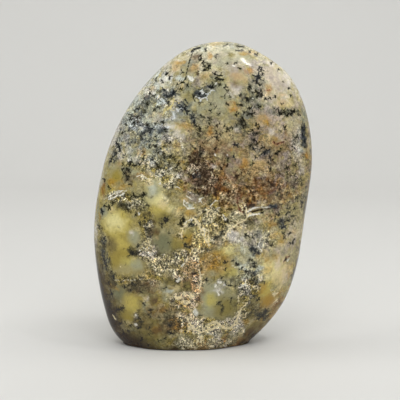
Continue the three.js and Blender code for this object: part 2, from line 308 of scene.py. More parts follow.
PATCHES = {
    "night_blue": [
        (-1, 134, 3.8, 2.6), (3.6, 137, 2.6, 2), (-18, 132.6, 2, 1.6), (-10.4, 127.4, 3, 2.2),
    ],
    "pink_cream": [
        (-25.4, 136.2, 1.6), (-23.7, 136.9, 1), (33, 144.5, 5, 4), (36.5, 139, 6, 5),
        (33.3, 126, 2, 1.5), (37.5, 121.3, 5, 3), (34.2, 114.5, 2, 3), (38.9, 116.7, 1.6),
        (46.6, 107.5, 1.2), (42.3, 121.3, 2.4, 1.6), (39, 48, 3, 5), (44, 40, 3, 6),
        # (-53.6, 91) on the next line is painted reflection on the left rim, not a colour of the stone
        (-1.2, 73.7, 2, 1.4), (-28, 55, 4, 3), (51.4, 96, 2, 5), (-8, 91, 2.4, 2), (-53.6, 91, 1.6, 4),
        (46.6, 63, 4, 5), (24, 62, 3, 3), (17.6, 142, 3, 4), (16, 136, 4, 3),
    ],
    "cream": [
        (-31, 131, 1.4), (-32.6, 129.8, 1.5), (-34.8, 123.6, 1.4), (-36.7, 118, 1.8, 1.3),
        (-35.8, 113.3, 1.8), (3.9, 143.8, 1.4), (0.6, 139.7, 1.4), (36.6, 146.8, 3, 2),
        (44, 128.7, 5, 4), (-25.8, 122, 3, 2), (-12.2, 116.8, 4, 2.4), (-13, 105.2, 3, 2),
        (-41.8, 102.5, 4, 2.6), (1.8, 101, 3, 2.5), (-27.3, 88.8, 3, 1.8), (-18, 88.3, 3),
        (-19.5, 78.5, 3, 2.5), (-12.9, 74.3, 3, 2.4), (-33.7, 75.2, 1.6), (-47.3, 74.3, 1.6),
        (28.5, 97.8, 6, 3.4), (22.6, 71.4, 3, 2.4), (34, 48, 3.4, 1.8), (38.5, 37, 3, 4),
        (33.3, 42.5, 4, 3), (-0.3, 58.5, 2, 1.6), (-9.5, 28.7, 6.4, 4.6), (9.8, 15, 7, 3),
        (-6.3, 13.5, 2, 2.4), (-4, 5.5, 3, 2), (0, 18, 4, 2.4), (19.4, 20, 2, 7), (-16, 44.5, 4, 2.4),
        (-10.3, 50.5, 3, 2), (-18, 49, 3, 2.4), (-39, 15, 2, 1.4), (-14, 105, 5, 3), (7, 95, 4, 3),
        (-4, 74, 5, 3), (-28, 92, 5, 3), (1, 64, 5, 4), (4, 11, 8, 3), (-3, 8, 5, 3), (-2, 6, 5, 2.6),
        (4, 13.6, 7, 2.6), (-6, 17, 3, 3), (12, 11, 5, 2), (12.6, 140, 1, 6), (-31, 102, 3, 2),
        (32, 112, 3, 3), (20, 130, 2, 3), (-1, 3, 5, 2), (21, 92, 3, 2.4), (24, 107, 3, 2),
        (7, 93.4, 2.4, 2), (-25, 43, 3, 2.4), (-18, 42, 3, 2), (12, 112, 3, 2.4), (-34, 98, 3, 2),
        (-15, 106, 3, 2.4), (19, 6, 3, 2), (-27, 93, 3, 2), (-12, 16, 2.4, 2), (22, 85, 2.4, 2),
        (0, 0.8, 6, 2), (-17, 21, 2.4, 2), (22, 87.6, 3, 2), (-21, 104, 3, 2), (49, 88, 2, 3),
        (16, 5, 5, 2.4), (-31, 103, 4, 2.4), (-14, 105, 4, 2.4), (24, 110, 2, 2), (-12, 129.4, 2, 1.6),
        (0, 1, 6, 2), (-6, 45, 3, 2.4), (-43, 79.4, 4, 1.6), (-4, 73, 3, 2), (-14, 106, 4, 2),
        (-15, 106, 4, 2), (-13, 130, 3, 2), (3, 49, 4, 3), (13, 82, 3, 2), (-9, 71.6, 2, 1.6),
        (-6, 45.4, 2.4, 1.6), (-9, 90, 1.6, 1.6), (10, 76, 3, 1.6), (7, 93, 2, 1.4), (-14, 35, 2.6, 2),
    ],
    "ice": [
        (-23, 142.3, 1.8), (-18.6, 140.8, 3), (-19.8, 130.8, 2, 1.4), (-14.6, 123, 1.8, 3),
        (-12.8, 131.6, 1.6), (0.2, 156, 1.6), (-5.6, 140.6, 1.4, 1), (-24.2, 117.2, 1.6),
        (-20.3, 117.4, 2.6, 1.2), (50.3, 104.8, 2.5, 2), (-14.3, 122.8, 2, 2.4), (6.7, 138.9, 1),
        # (44.5, 47.6) on the next line is a painted glint beside the druzy pit
        (-6.8, 77.3, 1.8), (-3.5, 22, 1.8, 2), (20, 35.6, 2.4, 1), (-17.5, 33, 2, 1.2), (44.5, 47.6, 1),
        (-21, 138.4, 4, 3), (0.6, 156, 1.8, 1.4), (-11, 141, 2, 2), (-14.6, 123, 1.6, 2.2),
        (-43, 112, 2, 4), (49.6, 112, 1.6, 6), (21, 47, 3, 3), (21, 54, 2.4, 3), (28.6, 45, 2.4, 3),
        (28, 38, 2, 2), (22, 36.4, 3, 1.6), (24, 51, 2, 2), (30, 55, 2, 3), (20, 60.4, 2, 2),
    ],
    "lilac": [
        (3, 136.7, 2.6, 2.2), (8.1, 151.3, 2.4, 1.8), (18.2, 137, 3, 2.5), (30, 131.9, 2.5, 2),
        (-2.7, 140.9, 2), (-39, 112.5, 3), (7.2, 119.5, 2.2), (-8.2, 106.2, 3), (22.3, 122, 2.2),
        (42.9, 103, 2.5, 2), (-9.8, 93.6, 2.5, 2), (-6.5, 84.7, 2.4), (12.9, 82, 2.4), (8.4, 59, 3, 2),
        (51, 94, 1.5, 2), (37.6, 73.8, 2), (28, 78.8, 1.8, 1.3), (41.2, 53.5, 4, 3),
        (33.3, 56.5, 2, 1.5), (-33.8, 107.8, 3, 2.4), (5.4, 98.3, 1.6), (0.3, 104, 1.4), (14.5, 97, 2.4),
        (-24.2, 97.8, 1.6), (25.5, 58.5, 1.8), (6.8, 3.3, 2.4, 1.6), (47, 90.2, 3, 2), (36, 86, 2, 2),
        (-5, 81.4, 4, 3), (8, 58, 2.6, 1.8), (42.6, 101, 3, 3), (46, 56, 4, 4), (-3, 139, 3, 2),
        (8, 150, 4, 2.4), (5, 144.6, 3, 2), (24, 149, 4, 2), (40, 98, 4, 4), (-9, 91.4, 3, 2.4),
        (34, 146, 5, 4), (40, 138, 5, 5), (34, 132, 4, 3), (16, 146, 6, 5), (10, 153, 4, 2),
        (-3, 152, 3, 2), (26, 147, 3, 4), (50, 122, 2, 3), (19, 99, 3, 2),
    ],
    "lilac_white": [
        (-15, 127, 3.4, 2.6), (-22, 121, 4, 2), (-27, 133, 3, 2), (-12, 137, 3, 2), (-31, 117, 3, 2),
        (-38, 106, 3, 3), (28, 107, 3, 2.4), (16, 134, 3, 2.4), (20, 60, 3, 2), (0, 69, 3, 2),
        (-36.6, 63.2, 1.6, 1.2), (17, 116, 2, 2), (-46.5, 99, 1.6), (-34.5, 19, 1.3, 1.8),
        (-35, 14, 1.8, 1.3), (6.2, 96.8, 1), (5.4, 98.3, 1), (-41.5, 102.5, 3, 1.6), (-29, 28.6, 1.8, 2),
        (-12, 113, 5, 3), (-18, 110, 3, 3), (44, 142, 4, 4), (-20.6, 139.4, 3, 2.4),
        (-14.4, 122.4, 2.4, 2), (-12.6, 125, 2, 1.6), (-20, 117, 3.6, 1.4), (-16.6, 117.6, 4, 2),
        (-17, 143, 4, 2.6), (-14, 139, 3, 2), (-4, 14, 4, 4), (6, 9.6, 5, 2.6), (18, 13, 3, 4),
        # The spots near -53, 90 on this line and the next four, and the one at -56, 62, are painted
        # reflection on the left rim, not colours of the stone
        (-16, 109.4, 5, 3), (-45, 107, 3, 4), (34.4, 114.4, 2, 3), (48, 108, 3, 8), (-52.4, 90, 2.4, 4),
        (-27, 93.6, 3, 1.8), (-56, 62, 2, 7), (51, 96, 2, 4), (-5, 15, 3, 3), (17, 17, 3, 2),
        (8, 34.6, 2.4, 3.4), (36, 149, 3, 2), (41, 132, 3, 3), (51, 131, 3, 4), (-53, 91, 2.4, 4),
        (-54, 88, 2, 3), (-9, 90.8, 2.6, 2), (-43, 111, 2.4, 4), (-18, 134.6, 3, 2), (-34, 99.4, 3, 2),
        (-53, 91, 2, 4), (-13, 130, 2.4, 2), (-41, 101, 3, 2),
    ],
    "grey_green": [
        (-25.8, 130.3, 3), (-9.3, 147.6, 2.4), (8.1, 147.4, 4, 2), (-3.3, 122.7, 2.4),
        (21.3, 118.8, 2.4), (47, 102.7, 2), (12.2, 89.2, 2.4), (-33, 48, 2.4), (-13.4, 47.8, 3, 2),
        (6.9, 77.6, 2, 1.5), (3, 10, 3, 2), (40.8, 70, 2, 3), (41.3, 65.8, 2.3, 1.8), (-29, 24, 3),
        (-10, 7.3, 4, 2.6), (-19, 28.6, 2.5, 1.5), (14.3, 38.5, 3, 2), (17, 48.5, 3, 2.5),
        (3.7, 42.7, 3, 2), (-21.5, 35, 4, 4), (21.3, 50.7, 4), (-8.3, 134, 3, 1.6), (2, 118, 2),
        # (-53, 90) on the next line and (-54, 70) on the one after are painted reflection on the left
        # rim
        (-53, 90, 3, 6), (-34, 107, 4, 4), (24, 54, 4, 3), (46, 120, 4, 4), (53, 122, 3, 5),
        (0, 118, 5, 3), (-54, 70, 3, 4), (2, 134, 4, 3), (1, 154, 4, 2), (11, 151, 6, 3),
        (15, 156.4, 7, 2.4), (0, 157, 3, 1.8), (-9, 136, 3, 2.4), (52, 123, 3, 5), (22, 152, 5, 3),
        (15, 119, 4, 3), (-35, 98, 3, 2.4), (5, 140, 3, 2.4), (15, 16, 4, 3), (-32, 95, 3, 2),
        (45, 43, 2, 3),
    ],
    "slate": [
        (-36.2, 108.4, 2.5), (-1.5, 133.4, 3.2, 2.2), (-9.8, 126.9, 5, 3.4), (-27, 115.6, 4, 2.4),
        (-39.5, 77.2, 4, 1.6), (-17.8, 83, 1.4, 2), (33.3, 76.2, 2.8, 1.2), (36.3, 76.5, 3.2, 1.8),
        (31.5, 18, 3.4, 2.8), (-52.5, 73, 2, 2), (-51.3, 58.5, 2, 3), (-51, 48, 2, 6), (52, 111, 2.4, 5),
        (30.7, 104, 3, 2), (27, 54, 3, 3), (24.5, 48, 3, 3), (-16, 134, 3, 2.4), (24, 129, 3.6, 3),
        (23.5, 60.5, 3, 2), (-10, 148, 2, 1.6), (20, 158.6, 5, 0.9), (-4, 157.4, 3, 1),
        (20.6, 121, 2.4, 3), (-5, 122, 2.4, 2.4), (56, 110, 2, 7), (-8, 137, 2.4, 2), (52, 124, 2.4, 4),
        (1, 158.8, 5, 1.4), (16, 159.4, 6, 1), (35, 125, 3, 2.4), (-21, 118.6, 3, 2), (-13, 123.4, 2, 2),
        (29, 130, 6, 5), (30, 136, 4, 3), (25, 137, 3, 3), (24, 122, 3, 4), (18, 158.6, 8, 1.4),
        (-6, 149, 3, 2), (1, 136, 3, 2.4), (56, 108, 2, 4),
    ],
    "peach": [
        (1.2, 142.2, 2.4, 1.6), (-13.7, 148, 4, 2.5), (26, 154, 3, 2), (33, 137.2, 2.5, 1.6),
        (40, 132.8, 3, 1.5), (3, 112.7, 3, 2.5), (-31.3, 91.5, 2.5, 1.4), (-9.2, 81, 2.4),
        (-7.5, 18.4, 3, 2), (6.3, 159, 4, 1.4), (-5.1, 52.4, 4, 3), (3, 52.7, 2, 1.6),
        (-8.6, 28.4, 4.4, 3), (-23.6, 60.8, 1), (27, 96, 6, 3.4), (32, 111, 4, 3), (-4, 26, 4, 4),
        (22, 93, 3, 2), (-12.4, 119.2, 3.4, 1.6), (-26, 136.4, 2, 1.6), (21.2, 97, 1.6, 4),
        (29.4, 98, 4, 3), (37.6, 88, 2, 1.6), (-29, 93, 3, 1.4),
    ],
    "orange": [
        (-20.3, 123.3, 1.6), (-4.4, 146.6, 2, 2.4), (3.4, 153, 1.5, 3), (23.1, 145.3, 2.4, 2),
        (-30.5, 104.3, 2.5), (-7.8, 116.8, 3, 2.5), (3.6, 115.8, 2), (-4.8, 109.6, 1.6, 2),
        (30.8, 120.8, 3, 2.5), (21.2, 97.5, 2.5, 3), (53.5, 101.5, 2), (13.1, 106.8, 2.2),
        (37.3, 88.4, 2.5, 2), (11.4, 78, 2.5, 2), (15.6, 127.2, 3, 2.5), (11.9, 85.3, 2),
        (41.9, 78.2, 1.8, 1.2), (9.8, 93.3, 1.6), (-8.7, 119.5, 1.6), (30, 120.6, 2.8, 3),
        (-8.6, 117.4, 3, 2), (15, 127, 3.4, 2.4), (30.4, 121, 3, 3), (40, 18, 3, 4), (23, 78, 3, 2.4),
        (-32.4, 92.6, 2.4, 1.2), (-27.6, 35, 2, 1.6),
    ],
    "gold": [
        (-12.5, 149.4, 3, 1), (21.6, 154.3, 3, 1.2), (30.6, 122.3, 2), (-12.8, 107.6, 2, 1.5),
        (-9.6, 98.9, 2.5, 2), (39.5, 112, 3, 2.5), (-12, 86.2, 2, 1), (-6.2, 73.2, 4, 1.6),
        (-39.5, 87, 3, 1.4), (31, 51.8, 4, 2.5), (36, 50.5, 4, 1.6), (40, 58.5, 3, 2), (22.3, 90.7, 2),
        (16.2, 86.8, 2), (35, 67, 3.4, 3), (37, 62, 3, 2.4), (-46.3, 34, 3, 1.6), (-27.5, 41, 4, 3),
        (22.7, 15.4, 2.4), (35.5, 16.5, 2.4, 3), (-53.5, 70, 1, 2), (24.4, 81, 3, 2), (9, 72, 3, 2.4),
        (3, 62.5, 3, 2), (44, 84, 3, 3), (2.6, 77, 3, 2), (-24, 12, 3), (-5, 60, 6, 3), (38, 18, 4, 6),
        (30, 120, 4, 3), (1, 47, 6, 4), (22, 79, 4, 3), (33, 50, 5, 3), (-43, 86, 3, 3), (29, 34, 4, 4),
        (5, 49, 5, 4), (-2, 59, 3, 2), (23, 78, 4, 2.4), (-18, 14, 3, 2), (11, 58, 3, 2),
        (-4, 58.6, 3, 2.4), (-27, 35.4, 3, 2.4), (-27, 35.6, 2.6, 2.4), (2, 48, 4, 3),
    ],
    "olive": [
        (-31.5, 127.3, 2.5, 3), (-21, 126, 1.8), (-9.2, 153, 2.5, 2), (-7.7, 132.2, 3.5, 2.2),
        (15, 152.8, 2), (-35.4, 116.7, 1.5), (-33.2, 115.4, 1), (-42.4, 112, 2.4), (31, 113.4, 1.6, 1.8),
        (40.1, 93.4, 1.6, 1.2), (40.3, 145.6, 1.2), (-1.2, 112, 1.8, 1.2), (52, 98, 2),
        (-12.2, 119.8, 2.5, 1.8), (5.4, 94.7, 1.4), (-46, 24.5, 3), (-25.3, 17, 3, 2), (-1.5, 24, 2),
        (-25, 62.5, 2), (-32.8, 36.4, 2.4), (-37.2, 92.3, 2), (-13.5, 137.4, 3, 2.6), (-32, 127, 2, 3),
        (48, 38, 3, 5), (40, 112, 3, 2.4), (-54.4, 48, 2.4, 8), (-54, 38, 2, 6),
    ],
    "rust": [
        (12.5, 103.5, 1.6), (5.1, 83, 1.6), (17.6, 80.4, 1.6, 3), (21.5, 82.5, 4, 2.4),
        (-51, 84.3, 1.6, 3.4), (6.2, 91.5, 4, 2.6), (-28, 34.8, 2, 1.4), (-25.2, 32.4, 2, 1.4),
        (36.5, 66.9, 2, 0.8), (-4.4, 104.3, 2), (10, 98, 2.4), (14, 91, 2), (21, 83, 2), (27, 90, 2),
        (31, 84, 2), (-2.6, 29, 1.6, 3), (42.2, 113.6, 1), (-3.6, 46.4, 2, 1.4), (36, 88, 4, 3),
        (24, 77, 3, 2), (13, 0, 8, 2.4), (39, 24, 2, 5), (-26, 37, 3, 2.4), (-22.6, 25, 3, 2.4),
        (-21, 20, 2, 2), (24, 78, 3, 1.6), (37, 88, 3, 2), (-4, 44, 1.6, 2), (27.6, 70.7, 4.4, 1),
        (40, 18, 2, 4), (-50, 16, 2, 4), (-27, 35, 3, 2), (40, 111.4, 3, 2), (40, 87, 2.4, 2.4),
    ],
    "brown": [
        (-28.8, 131.7, 1.4), (-6.9, 145.6, 1.4), (16.7, 139, 1.8), (29, 119.8, 1.2), (-39, 93, 1.2, 2.5),
        (-48.2, 98.9, 1.2, 2), (6.9, 101.8, 2.5, 1.5), (-5, 99.4, 3.4, 2.6), (26.6, 110.6, 3, 4.4),
        (2.4, 84.5, 4, 2), (-6.8, 92, 1.6), (-9.2, 88.6, 1.6), (34.6, 87.2, 1.6), (-4.8, 42.3, 2.5, 2),
        (-22.5, 21.5, 2), (-16, 16.6, 5.4, 5.4), (25, 8, 5, 3), (-44.5, 6, 3, 4.4), (28.9, 31.8, 1),
        (-23, 22, 5, 4), (-37, 91, 3, 3), (-27, 35, 5, 3), (-17, 14, 5, 4), (-26, 66, 3, 4),
        (50, 45, 2, 5), (-4, 152, 3, 1.6), (-33, 36, 4, 2.2), (-24, 28, 2.6, 2), (-36, 33.4, 3, 1.6),
        (-26, 63, 2.6, 4), (-48, 28, 2, 3), (33, 86, 3, 2.4), (-4, 96, 3, 3), (-23, 11, 4, 3),
        (-5, 37, 2, 3), (0, 33, 2, 3), (34, 11, 4, 4), (35, 9, 5, 4), (28, 5, 5, 3), (18, 75, 3, 2.4),
        (-3, 37, 2, 2), (15, 16, 3, 2),
    ],
    "tan": [
        (-15.8, 145, 2.4), (18, 142, 4, 2.5), (-30, 98, 2), (31.5, 94.8, 2.4), (34, 93.2, 2),
        (47.5, 62.8, 2.5, 1.5), (50, 84.5, 2, 4), (36, 22, 2.4, 5), (21.8, 139.6, 2.4), (-16, 22, 3, 3),
        (38, 14, 3, 4), (-2, 1, 8, 1.6), (45, 43, 3, 5), (18, 67, 4, 3), (33, 135, 4, 3),
        (-43, 98, 3, 2), (-5, 45.4, 3, 2), (35, 71, 3, 3), (-18, 14, 3, 2), (11, 77, 3, 3),
        (40, 129, 3, 3), (32, 134, 3, 3), (13, 82, 3, 2.4), (39, 18, 3, 4), (7, 93, 3, 2),
        (-6, 45, 3, 2),
    ],
}

# Clouds of moss seen blurred, deep in the stone: across, up, half width, half height and strength
CLOUDS = [
    (-22, 131, 7, 4, 0.6), (-28, 125, 5, 5, 0.4), (-10, 127, 4, 3.4, 0.45), (-16, 133, 4, 2.6, 0.8),
    (-27, 116, 6, 3, 0.7), (-31, 112, 4, 3, 0.5), (-1, 133.6, 5, 3, 0.8), (4, 137, 3, 2.4, 0.5),
    (2, 148, 2.4, 4, 0.5), (24, 131, 6, 7, 0.74), (28, 139, 5, 6, 0.56), (26, 124, 7, 4, 0.56),
    (43, 124, 9, 2.6, 0.9), (27, 112, 5, 6, 0.5), (22, 118, 4, 3, 0.5), (52, 112, 2.6, 7, 0.9),
    (32, 103, 5, 4, 0.6), (-2, 99, 6, 7, 0.9), (1, 90, 5, 7, 0.9), (5, 85, 6, 3, 0.8),
    (-45, 104, 2.4, 6, 0.8), (-37, 98, 5, 4, 0.35), (-24, 99, 4, 5, 0.4), (-22, 107, 5, 4, 0.3),
    (36, 76, 4, 2.4, 0.8), (41, 67, 4, 4, 0.6), (26, 54, 3, 3, 0.6), (25, 47, 3, 4, 0.6),
    (24, 62, 5, 3, 0.2), (26, 43, 3, 4, 0.5), (-39, 77, 5, 3, 0.8), (-28, 66, 3, 9, 0.5),
    (-36, 53, 4, 3, 0.8), (-20, 70, 4, 3, 0.5), (-52, 52, 2.6, 10, 0.7), (-30, 83, 4, 4, 0.5),
    (-10, 70, 2.4, 4, 0.4), (-17, 84, 4, 5, 0.3), (31, 18, 5, 4, 0.9), (-33, 15, 4, 6, 0.7),
    (-28, 12, 4, 8, 0.4), (14, 27, 5, 5, 0.3), (-44, 21, 5, 2, 0.5), (12, 40, 6, 5, 0.4),
    (25, 34, 4, 5, 0.6), (-16, 16, 7, 7, 0.7), (-14, 38, 5, 3, 0.6), (-34, 35, 8, 4, 0.6),
    (5, 60, 5, 3, 0.2), (-8, 57, 4, 3, 0.5), (34, 98, 6, 4, 0.3), (44, 96, 6, 6, 0.4),
    (12, 101, 5, 5, 0.3), (10, 96, 4, 4, 0.2), (8, 70, 5, 4, 0.5), (20, 74, 6, 4, 0.5),
    (-8, 36, 3, 4, 0.7), (46, 86, 6, 8, 0.4), (54, 78, 3, 12, 0.6), (24, 70, 5, 4, 0.5),
    (-21, 115, 5, 2, 0.8), (-30, 128, 4, 3, 0.7), (-48, 38, 4, 8, 0.7), (-50, 22, 4, 8, 0.7),
    (48, 38, 3, 10, 0.6), (22, 115, 4, 4, 0.6), (-35, 118, 4, 4, 0.7), (48, 111, 3, 4, 0.6),
    (-27, 67, 3.4, 4, 0.9), (-4, 36, 2, 2.4, 0.7), (-48, 56, 2, 5, 0.4), (-43, 29, 4, 3, 0.2),
    (-33, 122, 5, 6, 0.6), (-26, 130, 5, 4, 0.6), (-19, 134, 5, 3, 0.7), (-30, 110, 6, 4, 0.6),
    (-5, 122, 3, 3, 0.5), (-4, 96, 4, 4, 0.8), (33, 86, 4, 3, 0.75), (9.6, 23, 1.8, 3, 0.5),
    (8.6, 26.4, 2, 2, 0.5), (5, 140, 3, 3, 0.5), (-39, 94, 2.4, 5, 0.6), (35, 125, 3, 2.4, 0.5),
    (18, 67, 3, 2.4, 0.4), (19.6, 119, 4, 4, 0.7), (25, 128, 4, 4, 0.6), (-25, 100, 3, 2.6, 0.6),
    (38, 121, 3, 2, 0.3), (7, 139, 3, 2.4, 0.5), (-4, 96, 3, 3, 0.5), (40, 112, 3, 2, 0.3),
    (17, 16, 3, 2.4, 0.7), (-29, 49.5, 3, 2, 0.7), (-4.5, 37, 2, 3, 0.7), (48, 38, 3, 3, 0.7),
    (18, 75, 3, 2, 0.7), (-13, 62, 2.4, 2, 0.5), (-48, 46, 2.4, 3, 0.5),
]

